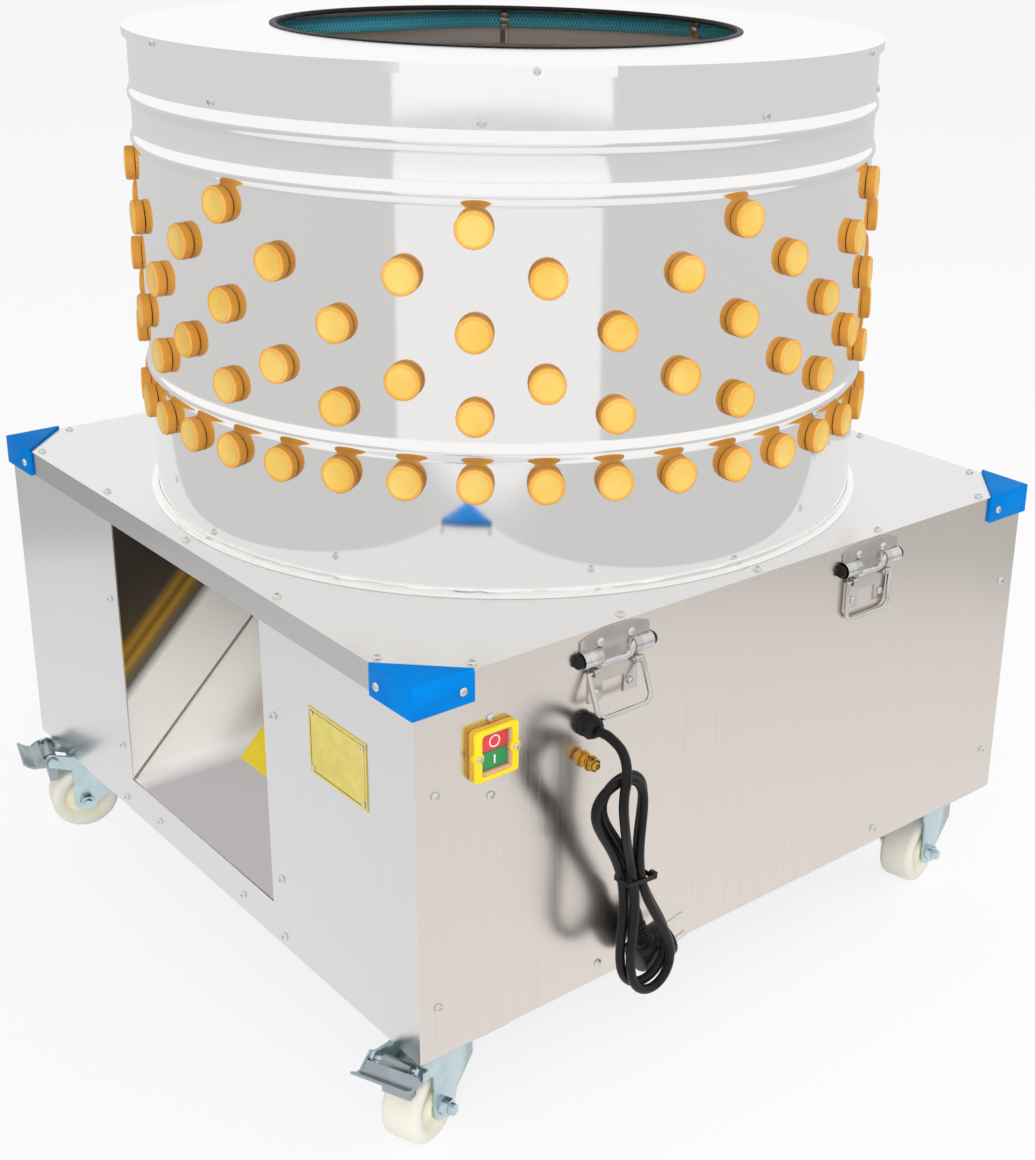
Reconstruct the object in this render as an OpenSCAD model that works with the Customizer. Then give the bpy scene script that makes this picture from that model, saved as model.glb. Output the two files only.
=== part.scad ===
// Poultry plucker: a drum lined with rubber fingers on a wheeled cabinet, with a turning
// feather plate, a belt drive, a feather chute, lifting handles and a tied-up mains lead.
// The origin is on the floor under the drum's axis. The chute faces -X, the switch faces -Y.

/* [Cabinet] */
// Width of the cabinet's top past the drum's foot ring
base_rim = 14; // [10:0.5:24]
// Height of the cabinet, from the caster plates to its top
base_h = 296; // [280:2:330]
// Thickness of the cabinet's steel sheet
sheet_t = 1.2; // [1:0.1:1.6]
// Height of the top tray's turned-down lip
lip_h = 21; // [19:0.5:28]
// Leg width of the frame's steel angle
angle_leg = 30; // [25:1:36]
// Thickness of the frame's steel angle
angle_t = 3; // [2:0.5:4]
// Width of the square cross beams
beam_w = 60; // [50:1:66]
// Height of the cross beams
beam_h = 30; // [24:1:36]
// Length of a corner guard's leg
guard_leg = 48; // [40:1:54]
// Height of a corner guard's skirt
guard_h = 22.5; // [18:0.5:28]
// Wall of a corner guard
guard_t = 2.5; // [2:0.1:3]

/* [Chute] */
// Width of the chute mouth
chute_w = 242; // [200:2:250]
// Gap between the chute's head and the middle beam
chute_gap = 27; // [20:1:34]
// Height of the sill above the frame's bottom angle
sill_rise = 3; // [2.5:0.5:8]

/* [Drum] */
// Outer radius of the drum
drum_r = 300; // [290:1:306]
// Height of the drum with its lid
drum_h = 375; // [366:1:400]
// Thickness of the drum's sheet and lid
drum_t = 1.5; // [1.2:0.1:2]
// Width of a rolled bead
bead_w = 14; // [10:1:15]
// How far a bead stands out
bead_rise = 2.5; // [1.5:0.1:3]
// Height of the lower bead above the cabinet
bead_low = 109; // [107:1:112]
// Height of the middle bead above the cabinet
bead_mid = 290; // [288:1:294]
// Height of the upper bead above the cabinet
bead_high = 324.5; // [318:0.5:325]
// Width of the foot ring round the drum
foot_w = 6; // [5:0.5:10]
// How far the lid stands out past the drum
lid_over = 3.4; // [2.5:0.1:5]
// Depth of the lid's turned-down edge
lid_lip = 7; // [5:0.5:10]
// Radius of the opening in the lid
mouth_r = 186; // [170:1:200]
// How far the edge trim reaches over the lid
trim_reach = 5; // [4:0.5:7]
// Rubber wall of the edge trim
trim_t = 1.2; // [1:0.1:3]

/* [Fingers] */
// Columns of fingers round the drum
finger_columns = 38; // [34:2:38]
// Radius of a finger's head
head_r = 13.5; // [11:0.1:13.5]
// Thickness of a finger's head
head_h = 8; // [6:0.5:10]
// Radius of a finger's neck
neck_r = 8.85; // [8:0.05:9.5]
// Length of a finger inside the drum
finger_len = 95; // [80:1:100]
// Radius of a finger's root
root_r = 10; // [9.5:0.1:11]
// Radius of a finger's tip
tip_r = 6; // [5:0.1:8]
// Angle of the first column
first_column = 228.4; // [227:0.1:230]

/* [Feather plate] */
// Gap between the turning plate and the drum's wall
plate_gap = 14.5; // [12:0.5:20]
// Thickness of the turning plate
plate_t = 3; // [2.5:0.5:4]
// Height of the plate above the cabinet
plate_lift = 30; // [28:1:34]
// Radius of the main shaft
shaft_r = 12.5; // [10:0.5:15]

/* [Drive] */
// Outer radius of the driven pulley
driven_r = 130; // [110:1:140]
// Outer radius of the motor pulley
drive_r = 26; // [24:0.5:30]
// Distance of the motor's axis from the cabinet's right face
motor_in = 105; // [98:1:110]
// Radius of the motor body
motor_r = 75; // [65:1:80]
// Length of the motor body
motor_len = 140; // [110:1:145]
// Radius of the motor shaft
rotor_r = 9.5; // [8:0.5:11]
// Width of the belt
belt_w = 10; // [8:0.5:12]
// Thickness of the belt
belt_t = 7; // [6:0.5:8]

/* [Water hose] */
// Outer radius of the hose
hose_r = 7.75; // [6.5:0.05:8.5]
// Radius of the hose's bore
hose_bore_r = 5; // [4.5:0.1:5.5]
// Distance of the hose's middle from the drum's outside
hose_in = 24; // [18:1:30]
// Depth of the hose's middle below the lid's top
hose_drop = 18; // [15:0.5:22]
// Radius of the hose's bends at the ends of its straight stretch
hose_bend_r = 60; // [50:1:80]
// Radius of the inlet nipple
inlet_r = 6.5; // [5:0.5:8]
// Free length of the inlet nipple
inlet_len = 24; // [18:1:30]

/* [Switch] */
// Distance of the switch from the cabinet's corner
switch_edge = 62; // [58:1:66]
// Depth of the switch below the cabinet's top
switch_drop = 64; // [62:1:70]
// Width of the switch bezel
switch_w = 37; // [35:0.5:40]
// Height of the switch bezel
switch_h = 38.5; // [37.5:0.5:44]
// Width of a push button
button_w = 24; // [20:0.5:25]
// Height of a push button
button_h = 15; // [12:0.5:15.5]
// Travel of a push button
button_travel = 2.5; // [1.5:0.1:3]

/* [Handles] */
// Distance of the first handle from the middle, on the switch's side
handle_x_near = 150; // [146:1:154]
// Distance of the second handle from the middle
handle_x_far = 120; // [110:1:140]
// Width of a handle's pressed plate
handle_w = 64; // [62:0.5:70]
// Thickness of a handle's sheet
handle_t = 1.5; // [1.2:0.1:2]
// Radius of the bail wire
bail_r = 2; // [1.8:0.1:2.1]
// Outer width of the bail
bail_w = 54; // [53:0.5:56]
// Drop of the bail below its pivot
bail_drop = 35; // [32:0.5:38]

/* [Casters] */
// Height of a caster
caster_h = 89.5; // [88:0.5:100]
// Distance of a swivel axis from the cabinet's faces
caster_inset = 41.5; // [41:0.5:50]
// Width of a caster's square top plate
caster_plate_w = 78; // [70:1:80]
// Thickness of a caster's top plate
caster_plate_t = 3; // [2.5:0.5:4]
// Radius of a wheel
wheel_r = 31; // [29:0.5:32]
// Width of a wheel
wheel_w = 31; // [26:0.5:33]
// Trail of the wheel behind the swivel axis
trail = 22; // [20:0.5:26]
// Thickness of the fork's sheet
fork_t = 2.5; // [2:0.1:3]
// Radius of the axle bolt
axle_r = 4.5; // [4:0.5:6]

/* [Cord] */
// Diameter of the mains lead
cord_d = 6.5; // [6:0.1:6.6]

/* [Hidden] */

$fn = 48;

// Clearances: a shaft in its bore, two faces that move past each other, and a loose passage
run_gap = 0.08;
move_gap = 0.3;
pass_gap = 4;

// Levels and faces of the cabinet
half = drum_r + foot_w + base_rim;
base_w = 2 * half;
tray = half + sheet_t;
inside = half - sheet_t;
base_z = caster_h;
base_top = base_z + base_h;
under_top = base_top - sheet_t;
drum_top = base_top + drum_h;
lid_z = drum_top - drum_t;
trim_round = trim_t / 2;

// Chute
sill_z = base_z + angle_leg + sill_rise;
chute_foot_x = -inside;
chute_head_x = -beam_w / 2 - chute_gap;
chute_deg = atan((under_top - sill_z) / (chute_head_x - chute_foot_x));
chute_sheet_v = sheet_t / cos(chute_deg);
mouth_top = base_top - lip_h;
drop_margin = 8;
drop_x = -(sqrt(pow(drum_r - drum_t, 2) - pow(chute_w / 2, 2)) - drop_margin);

// Cabinet frame
motor_x = half - motor_in;
gusset_w = motor_in - beam_w / 2 - sheet_t - angle_t - pass_gap;
gusset_t = 4;
beam_wall = 3;
beam_z = base_z + angle_t;

// Fingers: height of each row above the cabinet, first column, step between columns and count
seat_gap = 0.15;
hole_r = neck_r + seat_gap;
flange_h = 4;
flange_r = head_r - 2;
column_step = 360 / finger_columns;
finger_rows = [
    [86, 0, 1, finger_columns],
    [136, 0, 2, finger_columns / 2],
    [160, 1, 2, finger_columns / 2],
    [196, 0, 2, finger_columns / 2],
    [234, 1, 2, finger_columns / 2],
    [268, -16, 4, 9]
];

// Feather plate: radius of each ring of fingers and how many it holds
plate_z = base_top + plate_lift;
plate_top = plate_z + plate_t;
plate_r = drum_r - drum_t - plate_gap;
plate_rings = [[plate_r * 20 / 71, 8], [plate_r * 65 / 142, 12], [plate_r * 45 / 71, 20]];
paddle_count = 4;
paddle_in = 14;
paddle_t = 4;
paddle_h = plate_lift - 10;
paddle_start = 58;
hub_flange_r = 46;
hub_flange_t = 6;
hub_boss_r = shaft_r + 11;
hub_boss_h = 14;
hub_bolt_r = 4;
hub_bolt_ring = 35;
shaft_nut_r = shaft_r + 6;
shaft_nut_h = 12;

// Bearings and pulleys, from the bottom up
bearing_flange_t = 8;
bearing_boss_r = shaft_r + 13.5;
bearing_boss_h = 18;
bearing_h = bearing_flange_t + bearing_boss_h;
low_bearing_z = beam_z + beam_h;
high_bearing_z = under_top - beam_h;
collar_h = 8;
collar_r = shaft_r + 5.5;
pulley_w = 22;
pulley_z = low_bearing_z + bearing_h + collar_h + 3;
belt_z = pulley_z + pulley_w / 2;
groove_depth = 11;
groove_side = 1;
groove_flare = 1.8;
belt_gap = 0.3;
shelf_t = 5;
shelf_z = pulley_z + pulley_w + 8;
shelf_len = 130;
motor_z = shelf_z + shelf_t;

// Water hose
hose_ring_r = drum_r - hose_in;
hose_z = drum_top - hose_drop;
clip_t = 1.2;
clip_w = 8;
clip_gap = 0.35;
clip_screw_z = base_top + drum_h - 37;
clip_angles = [131, 189.4, 229.4, 269.4, 309.4, 12.5, 53.4];
flat_mid = 92;
flat_half = 36;
hose_step = 4;
hose_sides = 10;
inlet_angle = 350;
tee_len = 26;
inlet_nut_r = inlet_r + 4;

// Screws
screw_r = 3.4;
screw_h = 2.2;
tray_screw_in = 8;
tray_screw_end = half - 52;
tray_screw_mid = half - 182;
panel_screw_in = 16;
panel_screw_high = 85;
panel_screw_low = 42;
foot_screw_in = 163;
foot_screw_z = 14;
sill_screw_in = 49;
chute_screw_out = 15;
chute_screw_high = 95;
chute_screw_low = 61;
chute_screw_foot = 9;
switch_screw_gap = 17;
lid_screw_first = 236.2;

// Switch
switch_x = half - switch_edge;
switch_z = base_top - switch_drop;
switch_flange_t = 4;
bezel_t = 3.5;
switch_in = 40;
switch_wall = 3;
window_w = button_w + 2 * move_gap;
window_h = 2 * button_h + 3 * move_gap;
button_proud = 2.5;
button_depth = 8;
boss_r = 3.6;

// Handles, measured down from the cabinet's top
handle_top = 6.5;
handle_arch = 5.7;
handle_screw_z = 10.3;
handle_screw_x = 14.4;
barrel_z = 20.5;
barrel_r = 6.6;
barrel_in = handle_w / 2 - 17;
tongue_low = 29;
tongue_rim = 2.2;
backing_low = 43;
backing_tab = 57;
tab_w = 13;
backing_in = 9;
near_lean = 22;
tab_screw_z = 50;
pivot_z = barrel_z + barrel_r + bail_r + 3.4;
pivot_y = sheet_t + bail_r + move_gap;
loop_t = 1.3;
loop_w = 5;
bail_leg_x = bail_w / 2 - bail_r;
bail_corner = 8;
ear_gap = 0.4;

// Casters
race_h = 6;
race_r = 27;
fork_z = base_z - caster_plate_t - race_h - move_gap;
crown_t = 4;
crown_r = 25;
kingpin_r = 6;
kingpin_head_r = 9;
kingpin_head_h = 2.5;
arm_in = wheel_w / 2 + 2.2;
arm_out = arm_in + fork_t;
arm_end_r = 11;
arm_back = 20;
arm_bend = 40;
nut_r = axle_r * 1.6;
nut_h = 6;
stub_h = 4;
pedal_x = trail + 28;
pedal_z = fork_z - 1.7;
pedal_ear_r = 6.5;
pedal_pin_r = 3;
pedal_in = arm_out + move_gap;
pedal_out = pedal_in + 2;
shoe_w = 24;
shoe_len = norm([pedal_x - trail, pedal_z - wheel_r]) - wheel_r;

// Name, place and rest angle of each caster
swivel = half - caster_inset;
caster_fl = [-swivel, -swivel, 203];
caster_rl = [-swivel, swivel, 165];
caster_fr = [swivel, -swivel, 194];
caster_rr = [swivel, swivel, 171];

// Mains lead: the gland, and the lead's points, counted from the gland's nose
gland_x = -handle_x_near - 23;
gland_z = base_top - 73;
gland_hex_r = 10;
gland_hex_h = 4;
gland_dome_r = 8.8;
gland_dome_h = 5.5;
gland_nose_h = 3;
gland_nose_r = 5.6;
gland_len = gland_hex_h + gland_dome_h + gland_nose_h;
gland_thread_r = 7.5;
nose = [gland_x, -half - gland_len, gland_z];
hank_tilt = 12;
hank_up = [-sin(hank_tilt), 0, cos(hank_tilt)];
hank_side = [cos(hank_tilt), 0, sin(hank_tilt)];
drop_end = nose + [5, -33.5, -97];
drop_points = concat(
    [for (p = [
        [0, 0, 0], [0, -6, 0], [0, -12, 0], [-1.5, -26, -2.6], [-4.2, -35.4, -8.8], [-7.4, -40.4, -18.8],
        [-10, -41.4, -29.5], [-10.3, -41.4, -41.5], [-8.4, -40.7, -53.5], [-5.4, -39, -65.5],
        [-1.3, -36.4, -77.5]
    ]) nose + p],
    [drop_end + cord_d * hank_up, drop_end]
);

// Hank: two loops drawn in at a waist, the first in front and the second behind it
hank_loops = 2;
loop_rings = 24;
hank_lower = 104;
hank_upper = 91;
hank_step = 4;
hank_full = 58;
hank_shoulder = 23;
hank_stretch = 7;
hank_lean = 4;
waist_first = 3.8;
waist_second = 8.2;
hank_layer = 7.4;
climb_from = 0.72;
hank_lead = 14;
hank_tail = 60;
hank_back = 18.8;
hank_across = 14;
tail_rings = 6;
cord_sides_drop = 8;
cord_sides_hank = 6;
waist = drop_end - hank_lead * hank_up + waist_first * hank_side;

// Cable tie and plug, in the hank's own directions
tie_t = 1;
tie_h = 3.5;
tie_gap = 0.4;
tie_head = 6;
plug_y = hank_layer + hank_back;
plug_top = hank_tail + cord_d;
boot_r = 6.2;
boot_len = 20;
plug_r = 15;
plug_grip_r = 12.5;
plug_w = 32;
plug_face_w = 14;
plug_shift = 6;
plug_z = -plug_top - boot_len - plug_grip_r + 3;
pin_r = 2.4;
pin_len = 19;
pin_half = 9.5;

// Brass stud and bare plate
stud_x = gland_x - 2.5;
stud_z = base_top - 100;
stud_r = 3;
stud_len = 16;
plate_mid_y = -half + 95;
plate_mid_z = base_top - 91.5;
plate_card_w = 75;
plate_card_h = 53;
plate_card_t = 0.8;

// Shared shapes

module ring(r_out, r_in, h) {
    difference() {
        cylinder(r = r_out, h = h, $fn = 96);
        translate([0, 0, -1]) cylinder(r = r_in, h = h + 2, $fn = 96);
    }
}

// Runs its children at the same place on the four corners of the cabinet
module corners() {
    for (sx = [0, 1], sy = [0, 1]) mirror([sx, 0, 0]) mirror([0, sy, 0]) children();
}

// Angle bar along X with its heel at the origin, one leg flat and one upright
module angle_bar(len) {
    cube([len, angle_leg, angle_t]);
    cube([len, angle_t, angle_leg]);
}

module square_tube(len) {
    difference() {
        cube([beam_w, len, beam_h]);
        translate([beam_wall, -1, beam_wall])
            cube([beam_w - 2 * beam_wall, len + 2, beam_h - 2 * beam_wall]);
    }
}

// A rubber finger along Z: the head above the sheet's upper face, the finger below it
module finger(sheet) {
    seat = -sheet - seat_gap - 0.3;
    rotate_extrude($fn = 32) polygon([
        [0, seat_gap + head_h], [head_r - 1.2, seat_gap + head_h], [head_r, seat_gap + head_h - 1.2],
        [head_r, seat_gap], [neck_r, seat_gap], [neck_r, seat], [flange_r, seat],
        [flange_r, seat - flange_h], [root_r, seat - flange_h - 3], [tip_r, -finger_len + 3],
        [tip_r - 3, -finger_len], [0, -finger_len]
    ]);
}

// Places children on the drum's wall, with Z pointing outwards
module on_drum(angle, z, r = drum_r) {
    rotate([0, 0, angle]) translate([r, 0, z]) rotate([0, 90, 0]) children();
}

module each_drum_finger() {
    for (row = finger_rows, i = [0 : row[3] - 1])
        on_drum(first_column + (row[1] + i * row[2]) * column_step, base_top + row[0]) children();
}

module each_plate_finger() {
    for (r = plate_rings, i = [0 : r[1] - 1])
        rotate([0, 0, (i + 0.5) * 360 / r[1]]) translate([r[0], 0, plate_z]) children();
}

module screw() {
    rotate_extrude($fn = 24) polygon([
        [0, 0], [screw_r, 0], [screw_r, screw_h * 0.4], [screw_r * 0.7, screw_h], [0, screw_h]
    ]);
}

// Places children on the front face, X along it, Z pointing out of it
module on_front(x, z, out = 0) {
    translate([x, -half - out, z]) rotate([90, 0, 0]) children();
}

module on_rear(x, z, out = 0) {
    translate([x, half + out, z]) rotate([-90, 0, 0]) children();
}

module on_left(y, z, out = 0) {
    translate([-half - out, y, z]) rotate([0, -90, 0]) children();
}

module on_right(y, z, out = 0) {
    translate([half + out, y, z]) rotate([0, 90, 0]) children();
}

// Swept tube: a closed polyhedron along points, its rings square to the run
function unit(v) = v / norm(v);
function run_at(p, i) =
    i == 0 ? unit(p[1] - p[0]) :
    i == len(p) - 1 ? unit(p[i] - p[i - 1]) :
    unit(unit(p[i + 1] - p[i]) + unit(p[i] - p[i - 1]));
function carry(side, run) = unit(side - (side * run) * run);
function sides_along(p, i, side) =
    i == len(p) ? [] : let (s = carry(side, run_at(p, i))) concat([s], sides_along(p, i + 1, s));
function tube_points(p, r, n, side) =
    let (sides = sides_along(p, 0, side))
    [for (i = [0 : len(p) - 1], j = [0 : n - 1])
        let (s = sides[i], t = cross(run_at(p, i), s))
        p[i] + r * (cos(j * 360 / n) * s + sin(j * 360 / n) * t)];
function tube_faces(rings, n) = concat(
    [for (j = [1 : n - 2]) [0, j, j + 1]],
    [for (i = [0 : rings - 2], j = [0 : n - 1]) let (k = (j + 1) % n) [i * n + j, (i + 1) * n + j, i * n + k]],
    [for (i = [0 : rings - 2], j = [0 : n - 1]) let (k = (j + 1) % n)
        [i * n + k, (i + 1) * n + j, (i + 1) * n + k]],
    [for (j = [1 : n - 2]) [(rings - 1) * n, (rings - 1) * n + j + 1, (rings - 1) * n + j]]
);

module tube(p, d, n, side) {
    polyhedron(tube_points(p, d / 2, n, side), tube_faces(len(p), n));
}

// The same with a bore: an outer and an inner skin, joined at both ends
function pipe_faces(rings, n) =
    let (m = rings * n, e = m - n)
    concat(
        [for (i = [0 : rings - 2], j = [0 : n - 1]) let (k = (j + 1) % n) [i * n + j, (i + 1) * n + j, i * n + k]],
        [for (i = [0 : rings - 2], j = [0 : n - 1]) let (k = (j + 1) % n)
            [i * n + k, (i + 1) * n + j, (i + 1) * n + k]],
        [for (i = [0 : rings - 2], j = [0 : n - 1]) let (k = (j + 1) % n)
            [m + i * n + k, m + (i + 1) * n + j, m + i * n + j]],
        [for (i = [0 : rings - 2], j = [0 : n - 1]) let (k = (j + 1) % n)
            [m + (i + 1) * n + k, m + (i + 1) * n + j, m + i * n + k]],
        [for (j = [0 : n - 1]) let (k = (j + 1) % n) [j, k, m + j]],
        [for (j = [0 : n - 1]) let (k = (j + 1) % n) [k, m + k, m + j]],
        [for (j = [0 : n - 1]) let (k = (j + 1) % n) [e + k, e + j, m + e + j]],
        [for (j = [0 : n - 1]) let (k = (j + 1) % n) [e + k, m + e + j, m + e + k]]
    );

module pipe(p, r_out, r_in, n, side) {
    polyhedron(concat(tube_points(p, r_out, n, side), tube_points(p, r_in, n, side)), pipe_faces(len(p), n));
}

// Hank's run: side, up and back from the waist, as a function of the turn
function ease(t) = let (c = min(max(t, 0), 1)) c * c * (3 - 2 * c);
function loop_half(turn) = (hank_lower + hank_upper) / 2 - hank_step * turn;
function waist_half(turn) =
    waist_first + (waist_second - waist_first) * ease((turn - 0.5) / 0.5)
    - waist_second * ease((turn - hank_loops + 0.5) / 0.5);
function loop_point(turn) =
    let (
        s = sin(360 * turn), c = cos(360 * turn), rise = max(0, -s),
        up = -((loop_half(turn) + hank_stretch) * s - hank_stretch * pow(s, 3)
            + (hank_lower - hank_upper) / 2 * s * s),
        side = -c * (waist_half(turn) + hank_full * s * s - hank_shoulder * pow(s, 4))
            + hank_lean * (2 * turn - 2.5) * rise * rise,
        back = hank_layer * ease((turn - climb_from) / (1 - climb_from))
    )
    [side, up, back];
hank_run = concat(
    [[-waist_first, hank_lead, 0], [-waist_first, hank_lead - cord_d, 0]],
    [for (i = [0 : hank_loops * loop_rings]) loop_point(i / loop_rings)],
    [for (i = [1 : tail_rings]) let (t = i / tail_rings)
        [hank_across * ease((t - 0.25) / 0.75), -hank_tail * t, hank_layer + hank_back * ease(t / 0.9)]],
    [[hank_across, -plug_top, hank_layer + hank_back]]
);
function in_hank(q) = waist + q[0] * hank_side + q[1] * hank_up + [0, q[2], 0];
hank_points = [for (q = hank_run) in_hank(q)];

// Length of the lead, and the least gap between two stretches of the hank
function run_length(p) = [for (i = 0, s = 0; i < len(p); s = s + (i < len(p) - 1 ? norm(p[i + 1] - p[i]) : 0),
    i = i + 1) s];
hank_fine = [for (i = [0 : len(hank_points) - 2], t = [0, 0.5])
    hank_points[i] + t * (hank_points[i + 1] - hank_points[i])];
hank_reach = run_length(hank_fine);
hank_gaps = [for (i = [0 : len(hank_fine) - 2], j = [i + 1 : len(hank_fine) - 1])
    if (hank_reach[j] - hank_reach[i] > 4 * cord_d) norm(hank_fine[i] - hank_fine[j]) - cord_d];
echo(hank_least_gap = min(hank_gaps));
echo(lead_length = run_length(hank_points)[len(hank_points) - 1] + run_length(drop_points)[len(drop_points) - 1]);

// Runs its children in the hank's own directions: X to its side, Y to its back, Z up along it
module hank_place() {
    translate(waist) rotate([0, -hank_tilt, 0]) children();
}

// Cabinet

module base_top_panel() {
    color("gainsboro") difference() {
        translate([-tray, -tray, base_top - lip_h]) cube([2 * tray, 2 * tray, lip_h]);
        translate([-half, -half, base_top - lip_h - 1]) cube([base_w, base_w, lip_h + 1 - sheet_t]);
        translate([0, 0, under_top - 1]) cylinder(r = hub_boss_r + pass_gap, h = sheet_t + 2);
        translate([drop_x, -chute_w / 2, under_top - 1])
            cube([chute_head_x - pass_gap - drop_x, chute_w, sheet_t + 2]);
    }
}

module plain_panel(len) {
    translate([-len / 2, -half, base_z]) cube([len, sheet_t, base_h - sheet_t]);
}

module front_panel() {
    color("lightgray") difference() {
        plain_panel(base_w);
        on_front(-switch_x, switch_z, -sheet_t - 1) translate([0, 0, sheet_t / 2 + 1])
            cube([switch_w - 2 * switch_wall, switch_h - 2 * switch_wall, sheet_t + 4], center = true);
        on_front(gland_x, gland_z, -sheet_t - 1) cylinder(r = gland_thread_r + seat_gap, h = sheet_t + 2);
        on_front(stud_x, stud_z, -sheet_t - 1) cylinder(r = stud_r + seat_gap, h = sheet_t + 2);
    }
}

module rear_panel() {
    color("lightgray") rotate([0, 0, 180]) plain_panel(base_w);
}

module right_panel() {
    color("lightgray") rotate([0, 0, 90]) plain_panel(2 * inside);
}

module chute_side_panels() {
    flank = inside - chute_w / 2;
    color("silver") for (s = [0, 1]) mirror([0, s, 0])
        translate([-half, chute_w / 2, base_z]) cube([sheet_t, flank, base_h - sheet_t]);
}

module chute_sill() {
    color("silver") translate([-half, -chute_w / 2, base_z]) cube([sheet_t, chute_w, sill_z - base_z]);
}

module base_frame() {
    post_h = under_top - base_z - angle_leg;
    color("dimgray") {
        for (s = [0, 1]) mirror([0, s, 0]) translate([-inside, -inside, base_z]) angle_bar(2 * inside);
        for (s = [0, 1]) mirror([s, 0, 0]) translate([inside, -inside + angle_t, base_z])
            rotate([0, 0, 90]) angle_bar(2 * (inside - angle_t));
        corners() translate([-inside, -inside, base_z + angle_leg]) {
            cube([angle_leg, angle_t, post_h]);
            cube([angle_t, angle_leg, post_h]);
        }
        corners() translate([-inside + angle_t, -inside + angle_t, base_z + angle_t])
            cube([gusset_w, gusset_w, gusset_t]);
    }
}

module bearing_beams() {
    low_len = 2 * (inside - angle_t);
    color("slategray") {
        for (x = [0, motor_x]) translate([x - beam_w / 2, -low_len / 2, beam_z]) square_tube(low_len);
        difference() {
            translate([-beam_w / 2, -inside, high_bearing_z]) square_tube(2 * inside);
            translate([0, 0, high_bearing_z - 1]) cylinder(r = shaft_r + pass_gap, h = beam_h + 2);
        }
    }
}

module chute_slope() {
    head = chute_head_x + chute_sheet_v / tan(chute_deg);
    color("whitesmoke") translate([0, chute_w / 2 + sheet_t, 0]) rotate([90, 0, 0])
        linear_extrude(chute_w + 2 * sheet_t) polygon([
            [chute_foot_x, sill_z - chute_sheet_v], [head, under_top],
            [chute_head_x, under_top], [chute_foot_x, sill_z]
        ]);
}

module chute_walls() {
    color("whitesmoke") for (s = [0, 1]) mirror([0, s, 0])
        translate([0, chute_w / 2 + sheet_t, 0]) rotate([90, 0, 0]) linear_extrude(sheet_t)
            polygon([[chute_foot_x, sill_z], [chute_head_x, under_top], [chute_foot_x, under_top]]);
}

// One corner guard: a triangular top and two skirts
module corner_guard() {
    edge = tray + guard_t;
    reach = guard_leg + guard_t;
    translate([0, 0, base_top]) linear_extrude(guard_t)
        polygon([[-edge, -edge], [-edge + reach, -edge], [-edge, -edge + reach]]);
    translate([-edge, -edge, base_top - guard_h]) {
        cube([reach, guard_t, guard_h]);
        cube([guard_t, reach, guard_h]);
    }
}

module corner_guards() {
    color("dodgerblue") corners() corner_guard();
}

// Drum

// Half section of the drum's wall with its rolled beads
module drum_section() {
    bead_r = (bead_w * bead_w / 4 + bead_rise * bead_rise) / (2 * bead_rise);
    difference() {
        union() {
            translate([drum_r - drum_t, base_top]) square([drum_t, drum_h - drum_t]);
            for (z = [bead_low, bead_mid, bead_high]) intersection() {
                translate([drum_r + bead_rise - bead_r, base_top + z]) circle(bead_r);
                translate([drum_r - drum_t / 2, base_top + z - bead_w]) square(2 * bead_w);
            }
        }
        for (z = [bead_low, bead_mid, bead_high])
            translate([drum_r + bead_rise - bead_r, base_top + z]) circle(bead_r - drum_t);
    }
}

module drum_shell() {
    color("lightgray") difference() {
        rotate_extrude($fn = 180) drum_section();
        each_drum_finger() translate([0, 0, -10]) cylinder(r = hole_r, h = 20);
        on_drum(inlet_angle, hose_z) translate([0, 0, -10]) cylinder(r = inlet_r + seat_gap, h = 20);
    }
}

module drum_foot_ring() {
    upright = 6;
    color("gainsboro") translate([0, 0, base_top]) rotate_extrude($fn = 180) polygon([
        [drum_r + seat_gap, 0], [drum_r + foot_w, 0], [drum_r + foot_w, drum_t],
        [drum_r + seat_gap + drum_t, drum_t], [drum_r + seat_gap + drum_t, upright], [drum_r + seat_gap, upright]
    ]);
}

module lid_ring() {
    color("white") rotate_extrude($fn = 180) polygon([
        [mouth_r, lid_z], [drum_r + seat_gap, lid_z], [drum_r + seat_gap, drum_top - lid_lip],
        [drum_r + lid_over, drum_top - lid_lip], [drum_r + lid_over, drum_top], [mouth_r, drum_top]
    ]);
}

module opening_trim() {
    color("black") rotate_extrude($fn = 120) polygon([
        [mouth_r - trim_t, lid_z - trim_t], [mouth_r + trim_reach, lid_z - trim_t],
        [mouth_r + trim_reach, lid_z], [mouth_r, lid_z], [mouth_r, drum_top],
        [mouth_r + trim_reach, drum_top], [mouth_r + trim_reach - trim_round, drum_top + trim_t],
        [mouth_r - trim_t + trim_round, drum_top + trim_t], [mouth_r - trim_t, drum_top + trim_t - trim_round]
    ]);
}

module drum_fingers() {
    color("goldenrod") each_drum_finger() finger(drum_t);
}

// Feather plate and its drive

module feather_plate() {
    color("silver") difference() {
        translate([0, 0, plate_z]) cylinder(r = plate_r, h = plate_t, $fn = 120);
        each_plate_finger() translate([0, 0, -1]) cylinder(r = hole_r, h = plate_t + 2);
        translate([0, 0, plate_z - 1]) cylinder(r = shaft_r + seat_gap, h = plate_t + 2);
        for (i = [0 : 3]) rotate([0, 0, i * 90 + 45]) translate([hub_bolt_ring, 0, plate_z - 1])
            cylinder(r = hub_bolt_r + seat_gap, h = plate_t + 2);
    }
}

// Upright bars under the plate that sweep the feathers to the chute
module plate_paddles() {
    color("silver") for (i = [0 : paddle_count - 1]) rotate([0, 0, i * 360 / paddle_count])
        translate([paddle_start, -paddle_t / 2, plate_z - paddle_h])
            cube([plate_r - paddle_start - paddle_in, paddle_t, paddle_h]);
}

module plate_fingers() {
    color("goldenrod") each_plate_finger() rotate([180, 0, 0]) finger(plate_t);
}

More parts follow.
